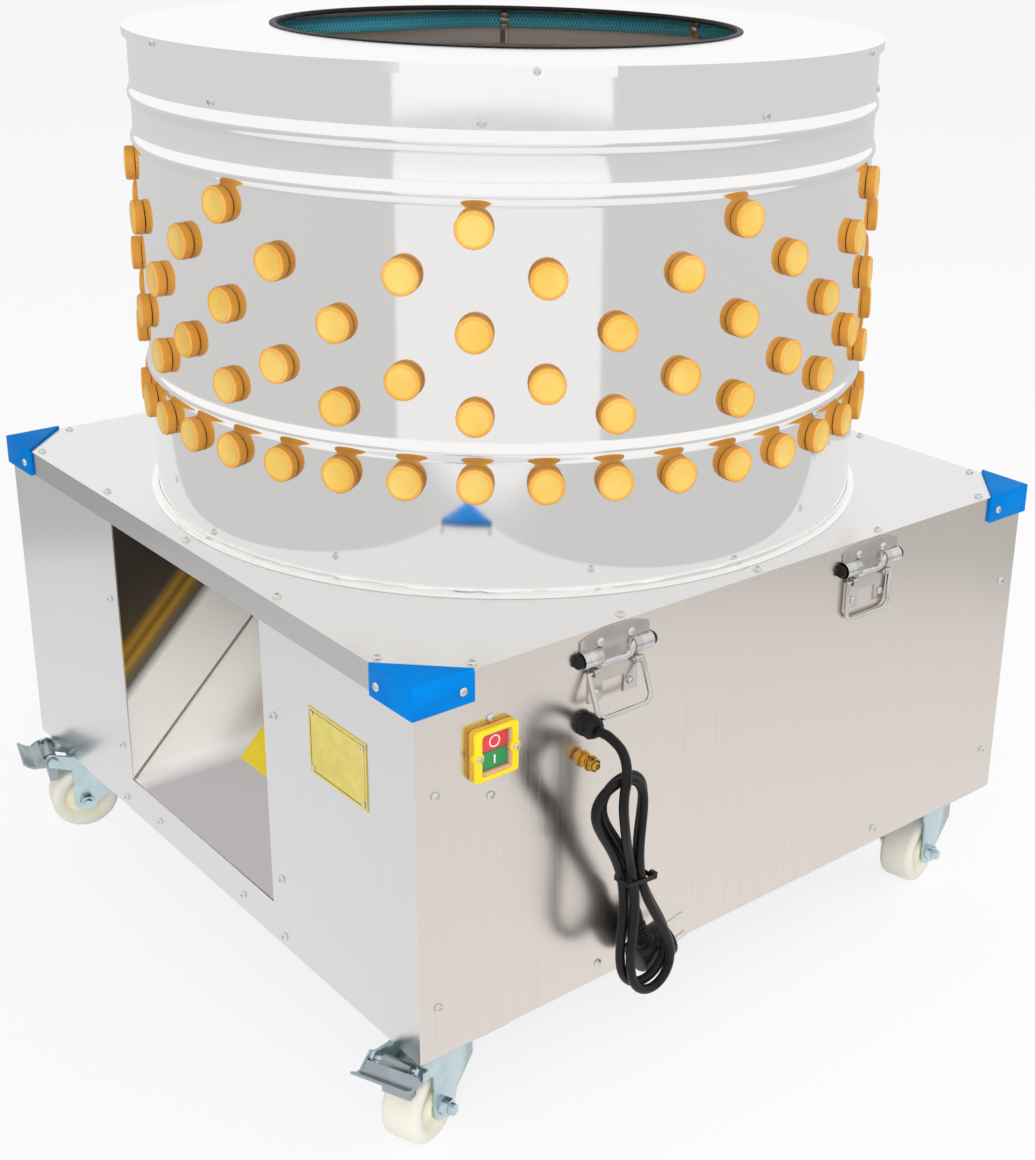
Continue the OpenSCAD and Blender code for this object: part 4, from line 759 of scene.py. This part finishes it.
def finger(name, sheet):
    """One rubber finger: a rimmed head outside the sheet, a waist in its hole and a ribbed tail inside."""
    inner = -sheet - 0.45
    tail = [(10 - 4 * k / 5 - (0.9 if k % 2 else 0), inner - 8 - 74 * k / 5) for k in range(6)]
    body = turned(name, [
        (10.6, 7.85), (11.2, 8.15), (12.4, 8.0), (13.3, 7.1), (13.5, 5.6), (13.5, 1.2), (12.9, 0.15),
        (8.85, 0.15), (8.85, inner), (11.5, inner), (11.5, inner - 4), *tail, (3.0, -95)], 20)
    # Painted light and shade of the head: centre of the face paler, rim and sides darker
    paint(body, finger_side)
    paint(body, finger_rim, lambda c, n: c.z > 6.8)
    paint(body, finger_face, lambda c, n: c.z > 7.6 and math.hypot(c.x, c.y) < 5)
    smooth(body, 50)
    return body


def plucking_fingers():
    spots = [on_drum(FIRST_COLUMN + (first + i * step) * COLUMN_STEP, BASE_TOP + z)
             for z, first, step, count in FINGER_ROWS for i in range(count)]
    whole = copies("plucking_fingers", finger("finger", DRUM_T), spots)
    ride(whole, "cabinet", "finger_rubber", "drum_fingers")
    spots = [turn((i + 0.5) * 360 / count, "Z") @ at(radius, 0, PLATE_FOOT) @ turn(180, "X")
             for radius, count in PLATE_RINGS for i in range(count)]
    whole = copies("plate_plucking_fingers", finger("finger", PLATE_T), spots)
    ride(whole, "plate", "finger_rubber", "plate_fingers")


# Small screws with a crossed slot

TRAY_SCREWS = (-268, -138, 0, 138, 268)
CLIP_ANGLES = (131, 189.4, 229.4, 269.4, 309.4, 12.5, 53.4)
LID_SCREW_ANGLE = 236.2
HANDLES = ((-150, on_front), (120, on_front), (150, on_rear), (-120, on_rear))


def cross_screw():
    head = turned("screw", [(3.4, 0), (3.4, 0.7), (3.1, 1.3), (2.4, 1.9), (1.4, 2.2)], 16)
    cut(head, block("slot", (3.6, 0.7, 1.6), (0, 0, 2.2)), block("slot", (0.7, 3.6, 1.6), (0, 0, 2.2)))
    paint(head, screw_steel)
    smooth(head, 35)
    return head


def screw_spots():
    """Places of the small screws on tray, panels, guards, drum, lid, handles, switch and plate."""
    tray = HALF + SHEET
    spots = [turn(90 * a, "Z") @ at(s, -tray + 8, BASE_TOP) for a in range(4) for s in TRAY_SCREWS]
    upper, lower, foot = BASE_TOP - 85, BASE_FOOT + 42, BASE_FOOT + 14
    edge, middle, sill, flank = HALF - 16, 157, 72, 136
    for s in (-1, 1):
        for face in (on_front, on_rear, on_right):
            spots += [face(s * edge, upper), face(s * edge, lower), face(s * middle, foot)]
        spots.append(on_left(s * sill, foot))
        spots += [on_left(s * flank, z) for z in (BASE_TOP - 95, BASE_FOOT + 61, BASE_FOOT + 9)]
        for face in (on_front, on_rear, on_left, on_right):
            spots.append(face(s * (tray - 38), BASE_TOP - 12, SHEET + 2.5))
    spots += [on_front(SWITCH[0], z) for z in SWITCH_SCREWS]
    spots += [on_drum(angle, DRUM_TOP - 37) for angle in CLIP_ANGLES]
    spots += [on_drum(LID_SCREW_ANGLE + 60 * i, DRUM_TOP - 3.5, DRUM_R + 3.4) @ Matrix.Scale(0.8, 4)
              for i in range(6)]
    for x, face in HANDLES:
        for s in (-1, 1):
            spots.append(face(x + s * 14.4, BASE_TOP - 10.3, 2.7))
            spots.append(face(x + s * 16.5, BASE_TOP - 50, 1.2) @ Matrix.Scale(0.9, 4))
    x, z = SWITCH
    spots += [on_front(x + s * BOSS_X, z, 8.5) @ Matrix.Scale(0.7, 4) for s in (-1, 1)]
    y, z = BARE_PLATE
    spots += [on_left(y + a * RIVET_X, z + b * RIVET_Z, 0.8) @ Matrix.Scale(0.6, 4)
              for a in (-1, 1) for b in (-1, 1)]
    return [spot @ turn(i * 47 % 90, "Z") for i, spot in enumerate(spots)]


# Pressed rims of the handles

BARREL_Z, BARREL_END, TONGUE_Z = -20.5, 32.0, -27.6


def handle_rims():
    """Rolled rim of each handle: a barrel, a lower tongue and a barrel in one pressing, with rubber cores."""
    half = [(BARREL_END, BARREL_Z, 6.75), (27.0, BARREL_Z, 6.75), (21.5, BARREL_Z, 6.7),
            (18.0, BARREL_Z - 0.6, 6.0), (15.6, BARREL_Z - 2.6, 4.6), (13.6, BARREL_Z - 5.4, 3.4),
            (10.5, TONGUE_Z, 2.9), (5.0, TONGUE_Z, 2.8)]
    spots = [Vector((-x, y, r)) for x, y, r in half] + [Vector((0, TONGUE_Z, 2.8))]
    spots += [Vector(p) for p in reversed(half)]
    fine = rounded_run(spots, 4) + spots[-1:]
    rim = as_mesh(strand("rim", [Vector((p.x, p.y, 0)) * MM for p in fine], 1.0, [p.z for p in fine]))
    outward(rim)
    paint(rim, pressed_steel)
    cores = [turned("core", [(4.2, 0), (5.2, 0.4), (5.2, 3.2), (4.4, 4.2)], 24) for _ in (0, 1)]
    for core, side in zip(cores, (-1, 1)):
        paint(place(core, at(side * BARREL_END, BARREL_Z, 0) @ turn(side * 90, "Y")), black_rubber)
    rim = joined("rim", [rim, *cores])
    smooth(rim, 50)
    spots = [face(x, BASE_TOP, SHEET + 1.5) for x, face in HANDLES]
    ride(copies("handle_rims", rim, spots), "cabinet", "stainless")


# Switch

KEY_X, STOP_Y, START_Y = -0.35, 8.05, -5.65


def switch_front():
    """Yellow bezel with a rounded window and two screw bosses."""
    bezel = upright_block("bezel", (37, 38.5, 3.4), (0, 0, 6.1), 3.0)
    cut(bezel, upright_block("window", (25.6, 31.6, 12), (0.4, 0, 6), 3.2))
    softened(bezel, 0.7, 3)
    bosses = [turned("boss", [(4.4, 4.6), (4.4, 7.5), (4.0, 8.2), (3.0, 8.5)], 24) for _ in (0, 1)]
    for boss, side in zip(bosses, (-1, 1)):
        place(boss, at(side * BOSS_X, 0, 0))
    whole = joined("switch_front", [bezel, *bosses])
    paint(whole, yellow_plastic)
    smooth(whole)
    ride(place(whole, on_front(*SWITCH)), "cabinet", "yellow_plastic", "switch_bezel")


def switch_case():
    """Amber box behind the bezel: a flange on the sheet, a gasket, a deep body and a beige seal."""
    flange = upright_block("flange", (37.6, 39.1, 3.7), (0, 0, 1.85), 3.2)
    softened(flange, 0.8, 3)
    cut(flange, upright_block("hole", (25.6, 31.6, 9), (0.4, 0, 2), 3.2))
    body = upright_block("body", (30.6, 32.1, 40), (0, 0, -20), 2.0)
    cut(body, upright_block("hole", (25.6, 31.0, 21), (0.4, 0, 4), 3.2))
    case = joined("case", [flange, body])
    paint(case, box_plastic)
    gasket = upright_block("gasket", (35.0, 36.5, 0.7), (0, 0, 4.05), 2.6)
    cut(gasket, upright_block("hole", (25.6, 31.6, 9), (0.4, 0, 4), 3.2))
    paint(gasket, black_rubber)
    seal = upright_block("seal", (25.0, 31.0, 11.5), (0.4, 0, 1.15), 3.0)
    cut(seal, block("hole", (22.9, 28.0, 30), (KEY_X, 1.2, 0)))
    paint(seal, seal_plastic)
    whole = joined("switch_case", [case, gasket, seal])
    smooth(whole)
    ride(place(whole, on_front(*SWITCH)), "cabinet", "yellow_plastic", "switch_box")


def key(name, height, mat, mark, body, slot, node):
    """A moulded key with its white mark, on a body of its own."""
    cap = block("cap", (22.3, 13.5, 6.4), (KEY_X, height, 1.9), 0.9, 3)
    paint(cap, mat)
    paint(mark, white_ink)
    whole = joined(name, [cap, mark])
    smooth(whole)
    ride(place(whole, on_front(*SWITCH)), body, slot, node)


def switch_keys():
    bpy.ops.object.select_all(action="DESELECT")
    bpy.ops.mesh.primitive_torus_add(
        major_radius=4.1 * MM, minor_radius=0.6 * MM, major_segments=40, minor_segments=8)
    circle = bpy.context.active_object
    circle.location = (KEY_X * MM, STOP_Y * MM, 4.8 * MM)
    bpy.ops.object.transform_apply(location=True, rotation=True, scale=True)
    key("stop_key", STOP_Y, red_plastic, circle, "stop_key", "red_plastic", "stop_button")
    bar = block("bar", (1.3, 6.6, 0.8), (KEY_X, START_Y, 5.0), 0.3)
    key("start_key", START_Y, green_plastic, bar, "start_key", "green_plastic", "start_button")


# Lead fittings

def lead():
    run = lead_run()
    cord = strand("mains_lead", run, LEAD_D / 2)
    cord.data.materials.append(cord_rubber)
    ride(cord, "cabinet", "black_rubber", "cord_drop", "cord_hank")
    length = sum((b - a).length for a, b in zip(run[:-1], run[1:]))
    return cord, length


HANK = Matrix((HANK_SIDE, (0, 1, 0), HANK_UP)).transposed().to_4x4()
HANK.translation = WAIST * MM
PLUG_BACK, PLUG_TOP, PLUG_AXIS = HANK_LAYER + HANK_BACK, HANK_TAIL + CORD_D, -96.0
TIE_SLANT = 18


def plug():
    """Angled moulded plug: a ribbed boot, a flat-sided grip across it and a round face."""
    ribs = [(4.0, -PLUG_TOP), (4.7, -PLUG_TOP - 0.5)]
    for k in range(5):
        low, wide = -PLUG_TOP - 3 - 2.9 * k, 4.9 + 0.5 * k
        ribs += [(wide, low), (wide - 0.8, low - 0.5), (wide - 0.7, low - 1.2), (wide + 0.4, low - 1.6)]
    ribs += [(7.7, -PLUG_TOP - 18), (7.7, -PLUG_TOP - 22)]
    boot = turned("boot", list(reversed(ribs)), 24)
    grip = turned("grip", [
        (8.5, -10), (11.4, -9.4), (12.5, -7.5), (12.5, 5.5), (13.2, 7), (14.6, 8), (15, 9.2), (15, 20.2),
        (14.5, 21.6), (13.4, 22)], 40)
    place(grip, at(0, 0, PLUG_AXIS) @ turn(90, "Y"))
    cheeks = []
    for side in (-1, 1):
        cheek = block("cheek", (15, 1.6, 13), (-1.5, 0, PLUG_AXIS), 0.7, 3)
        cheeks.append(place(cheek, at(0, side * 11.9, 0)))
    collar = upright_block("collar", (17, 15.5, 10), (0.5, 0, -PLUG_TOP - 19.5), 4.0)
    softened(collar, 1.5, 3)
    whole = joined("mains_plug", [boot, collar, grip, *cheeks])
    paint(whole, black_plastic)
    smooth(whole, 45)
    return ride(place(whole, HANK @ at(HANK_ACROSS, PLUG_BACK, 0)), "cabinet", "black_rubber", "plug_body")


def tie():
    """Cable tie: a flat band round the waist with a square lock at its side."""
    width, front, rear = 11.85, -3.65, 11.05
    middle = (front + rear) / 2
    band = upright_block("band", (2 * width + 2, rear - front + 2, 3.5), (0, middle, 0), 2.2)
    cut(band, upright_block("hole", (2 * width, rear - front, 9), (0, middle, 0), 1.4))
    lock = block("lock", (4, 6, 5.5), (width + 3.0, front + 3, 0), 0.6, 3)
    whole = joined("waist_tie", [band, lock])
    paint(whole, black_plastic)
    smooth(whole)
    return ride(place(whole, HANK @ turn(TIE_SLANT, "Y")), "cabinet", "black_plastic", "cable_tie")


def gland():
    """Cable gland: a hexagon base, a ribbed dome nut, and a locknut behind the sheet."""
    base = turned("base", [(9.5, 0), (10, 0.5), (10, 3.5), (9.5, 4)], 6)
    dome = turned("dome", [
        (8.8, 4), (8.8, 7.6), (8.3, 9), (7.5, 9.8), (7.2, 10.4), (6.4, 11.8), (5.4, GLAND_LEN)], 24)
    ribs = []
    for i in range(12):
        rib = block("rib", (1.0, 0.9, 3.6), (0, 0, 5.9), 0.25)
        ribs.append(place(rib, turn(30 * i, "Z") @ at(8.7, 0, 0)))
    inner = turned("inner", [(7.5, -12), (7.5, -6.2), (9.9, -6.2), (9.9, -1.2), (7.5, -1.2), (7.5, 0)], 24)
    whole = joined("lead_gland", [base, dome, inner, *ribs])
    paint(whole, black_plastic)
    smooth(whole)
    ride(place(whole, on_front(GLAND_X, GLAND_Z)), "cabinet", "black_plastic", "cable_gland")


def brass_stud():
    """Brass earth stud: a threaded end, two washers and three nuts, one of them behind the sheet."""
    thread = [(3.0 - 0.35 * (k % 2), 13.5 + 0.45 * k) for k in range(1, 6)]
    parts = [turned("rod", [(3.0, -14), (3.0, 13.5), *thread, (2.4, 16)], 20),
             turned("washer", [(6.3, 0), (6.3, 1.2)], 28), turned("washer", [(6, 8), (6, 9.2)], 28)]
    for low in (-6.2, 1.2, 9.2):
        parts.append(turned("nut", [(5.0, low), (5.4, low + 0.4), (5.4, low + 4.1), (5.0, low + 4.5)], 6))
    whole = joined("brass_stud", parts)
    paint(whole, brass)
    smooth(whole, 30)
    ride(place(whole, on_front(*STUD)), "cabinet", "brass", "earth_stud")


def bare_plate():
    """Bare yellow plate with a plain raised border and a dark line inside it."""
    card = block("card", (75, 53, 0.8), (0, 0, 0.4))
    chosen(card, "FACE", lambda face: face.normal.z > 0.9)
    bpy.ops.mesh.inset(thickness=2.2 * MM)
    bpy.ops.mesh.inset(thickness=0.7 * MM, depth=-0.15 * MM)
    leave()
    paint(card, plate_brass)
    paint(card, plate_border, lambda c, n: 0.2 < n.z < 0.999 and c.z > 0.5)
    smooth(card, 20)
    ride(place(card, on_left(*BARE_PLATE)), "cabinet", "brass", "blank_plate")


# Lower corner of the patch, and how far the slope's face lies above the plane z = x
PATCH_X, PATCH_Y, SLOPE_RISE = -269, 17, 441.3


def slope_patch():
    """Plain yellow patch stuck on the slope near its foot."""
    card = block("slope_patch", (50, 70, 0.25), (25, -35, 0.2))
    chosen(card, "FACE", lambda face: face.normal.z > 0.9)
    bpy.ops.mesh.inset(thickness=0.4 * MM, depth=0.05 * MM)
    leave()
    paint(card, yellow_plastic)
    spot = at(PATCH_X, PATCH_Y, PATCH_X + SLOPE_RISE) @ turn(-45, "Y")
    ride(place(card, spot), "cabinet", "yellow_plastic")


# Casters

# Swivel place of each caster, and the angle that its wheel trails to
SWIVEL = HALF - 41.5
CASTERS = {"fl": (-SWIVEL, -SWIVEL, 203), "rl": (-SWIVEL, SWIVEL, 165), "fr": (SWIVEL, -SWIVEL, 194),
           "rr": (SWIVEL, SWIVEL, 171)}
TRAIL, WHEEL_R, BORE_R, BOSS_HALF = 22, 31, 4.58, 16.3


def wheel(code):
    """Solid nylon wheel: crowned tread, a cream groove round the hub and a flat boss."""
    half = [(BORE_R, BOSS_HALF), (10.2, BOSS_HALF), (10.7, 15.8), (11.4, 14), (12.8, 12.8), (15.6, 12.3),
            (18.4, 12.9), (20.2, 14.4), (21.6, 15.4), (26, 15.5), (28.4, 14.8), (30.2, 12.9), (30.8, 11.2),
            (WHEEL_R, 9.5), (WHEEL_R, 0)]
    side = turned("wheel_" + code + "_nylon", half, 72, closed=False)
    twin = twin_of(side, Matrix.Scale(-1, 4, (0, 0, 1)))
    bore = turned("bore", [(BORE_R, -BOSS_HALF), (BORE_R, BOSS_HALF)], 72, closed=False)
    whole = joined("wheel_" + code + "_nylon", [side, twin, bore])
    outward(whole)
    paint(whole, nylon)
    paint(whole, hub_nylon, lambda c, n: 11 < math.hypot(c.x, c.y) < 21)
    smooth(whole, 40)
    x, y, angle = CASTERS[code]
    spot = at(x, y, 0) @ turn(angle, "Z") @ at(TRAIL, 0, WHEEL_R) @ turn(90, "X")
    ride(place(whole, spot), "wheel_" + code, "nylon", "wheel_" + code)


# Studio

# Half width of the floor, radius of its near round piece, and reach of the ramps of grey, in metres
FLOOR_HALF, NEAR_R, RAMP_REACH = 30, 1.15, 8.0

# Share of plain white that the camera sees on the floor, so that the shadow stays
FLOOR_WHITE = 0.82

# Sides of the white sheet on the floor, each a start and a direction, and where it begins and ends on them
SHEET_LEFT = (Vector((-0.25, -0.171)), Vector((-0.941, -0.338)))
SHEET_RIGHT = (Vector((-0.233, -0.30)), Vector((-0.1167, -0.9932)))
SHEET_NEAR, SHEET_FAR = 1.14, 14

# Lamps: name, place and width in metres, watts
LAMPS = (("key_light", (-2.2, -2.6, 3.2), 2.4, 40), ("low_light", (-1.55, -1.95, 1.3), 0.6, 18),
         ("fill_light", (2.6, -1.6, 2.6), 2.0, 35), ("back_light", (0.6, 2.8, 2.8), 2.2, 8))
LAMP_AIM = Vector((0, 0, 0.4))


def studio():
    """Pale floor and soft light. The floor keeps the object's shadow, and metal sees it as a pale studio."""
    scene = bpy.context.scene
    scene.view_settings.view_transform = "Standard"
    world = bpy.data.worlds.new("studio")
    scene.world = world
    world.use_nodes = True
    tree = world.node_tree
    feed(tree, tree.nodes["Background"], [("Color", (0.9, 0.9, 0.9, 1)), ("Strength", 0.62)])
    path = add(tree, "ShaderNodeLightPath")
    seen = add(tree, "ShaderNodeMath", [
        (0, path.outputs["Is Camera Ray"]), (1, path.outputs["Is Glossy Ray"])], operation="MAXIMUM")
    white = add(tree, "ShaderNodeBackground", [("Color", (1, 1, 1, 1)), ("Strength", 1.0)])
    mixed = add(tree, "ShaderNodeMixShader", [
        ("Fac", seen.outputs["Value"]), (1, tree.nodes["Background"].outputs["Background"]),
        (2, white.outputs["Background"])])
    tree.links.new(mixed.outputs["Shader"], tree.nodes["World Output"].inputs["Surface"])
    square = [(FLOOR_HALF * a, FLOOR_HALF * b) for a, b in ((-1, -1), (1, -1), (1, 1), (-1, 1))]
    floor_sheet("studio_floor", square, 0.0, [(1.6, 0.625), (3, 0.66), (6, 0.69)])
    ring = [(NEAR_R * math.cos(math.pi * k / 24), NEAR_R * math.sin(math.pi * k / 24)) for k in range(48)]
    floor_sheet("near_floor", ring, 0.0002, [(0.4, 0.99), (0.8, 0.94), (1.15, 0.89)])
    corners = []
    for (start, way), reaches in (
            (SHEET_LEFT, (SHEET_NEAR, SHEET_FAR)), (SHEET_RIGHT, (SHEET_FAR, SHEET_NEAR))):
        corners += [tuple(start + reach * way) for reach in reaches]
    floor_sheet("white_sheet", corners, 0.0004, [(1.3, 0.95), (1.8, 0.76), (2.6, 0.9), (6, 1.0)])
    for name, spot, size, watts in LAMPS:
        light = bpy.data.lights.new(name, "AREA")
        light.size = size
        light.energy = watts
        lamp = bpy.data.objects.new(name, light)
        lamp.location = spot
        lamp.rotation_euler = (LAMP_AIM - Vector(spot)).to_track_quat("-Z", "Y").to_euler()
        lamp.visible_glossy = False
        scene.collection.objects.link(lamp)


def floor_sheet(name, corners, height, greys):
    """A flat floor piece, white to the camera. Metal sees it in greys, each given at a distance in metres."""
    bpy.ops.object.select_all(action="DESELECT")
    bpy.ops.mesh.primitive_circle_add(vertices=len(corners), radius=1, fill_type="NGON")
    sheet = bpy.context.active_object
    sheet.name = name
    for vertex, spot in zip(sheet.data.vertices, corners):
        vertex.co = (*spot, height)
    sheet.data.update()
    outward(sheet)
    mat, skin = material(name + "_paper")
    tree = mat.node_tree
    feed(tree, skin, [("Base Color", (0.93, 0.93, 0.93, 1)), ("Roughness", 0.9)])
    path = add(tree, "ShaderNodeLightPath")
    glow = add(tree, "ShaderNodeEmission", [("Color", (1, 1, 1, 1)), ("Strength", 1.0)])
    place_in = add(tree, "ShaderNodeTexCoord")
    far = add(tree, "ShaderNodeVectorMath", [(0, place_in.outputs["Object"])], operation="LENGTH")
    part = add(tree, "ShaderNodeMath", [(0, far.outputs["Value"]), (1, RAMP_REACH)], operation="DIVIDE")
    tone = add(tree, "ShaderNodeValToRGB", [("Fac", part.outputs["Value"])])
    ramp_colours(tone, *[(metres / RAMP_REACH, (grey, grey, grey, 1)) for metres, grey in greys])
    dim = add(tree, "ShaderNodeEmission", [("Color", tone.outputs["Color"])])
    share = add(tree, "ShaderNodeMath", [
        (0, path.outputs["Is Camera Ray"]), (1, FLOOR_WHITE)], operation="MULTIPLY")
    seen = add(tree, "ShaderNodeMixShader", [
        ("Fac", share.outputs["Value"]), (1, skin.outputs["BSDF"]), (2, glow.outputs["Emission"])])
    both = add(tree, "ShaderNodeMixShader", [
        ("Fac", path.outputs["Is Glossy Ray"]), (1, seen.outputs["Shader"]), (2, dim.outputs["Emission"])])
    tree.links.new(both.outputs["Shader"], tree.nodes["Material Output"].inputs["Surface"])
    sheet.data.materials.append(mat)


photo_camera()
mains_lead, lead_length = lead()
mains_plug = plug()
waist_tie = tie()
drum_wall()
ring_hose()
plucking_fingers()
ride(copies("cross_screws", cross_screw(), screw_spots()), "cabinet", "stainless", "small_screws")
handle_rims()
switch_front()
switch_case()
switch_keys()
gland()
brass_stud()
bare_plate()
slope_patch()
for code in CASTERS:
    wheel(code)
studio()
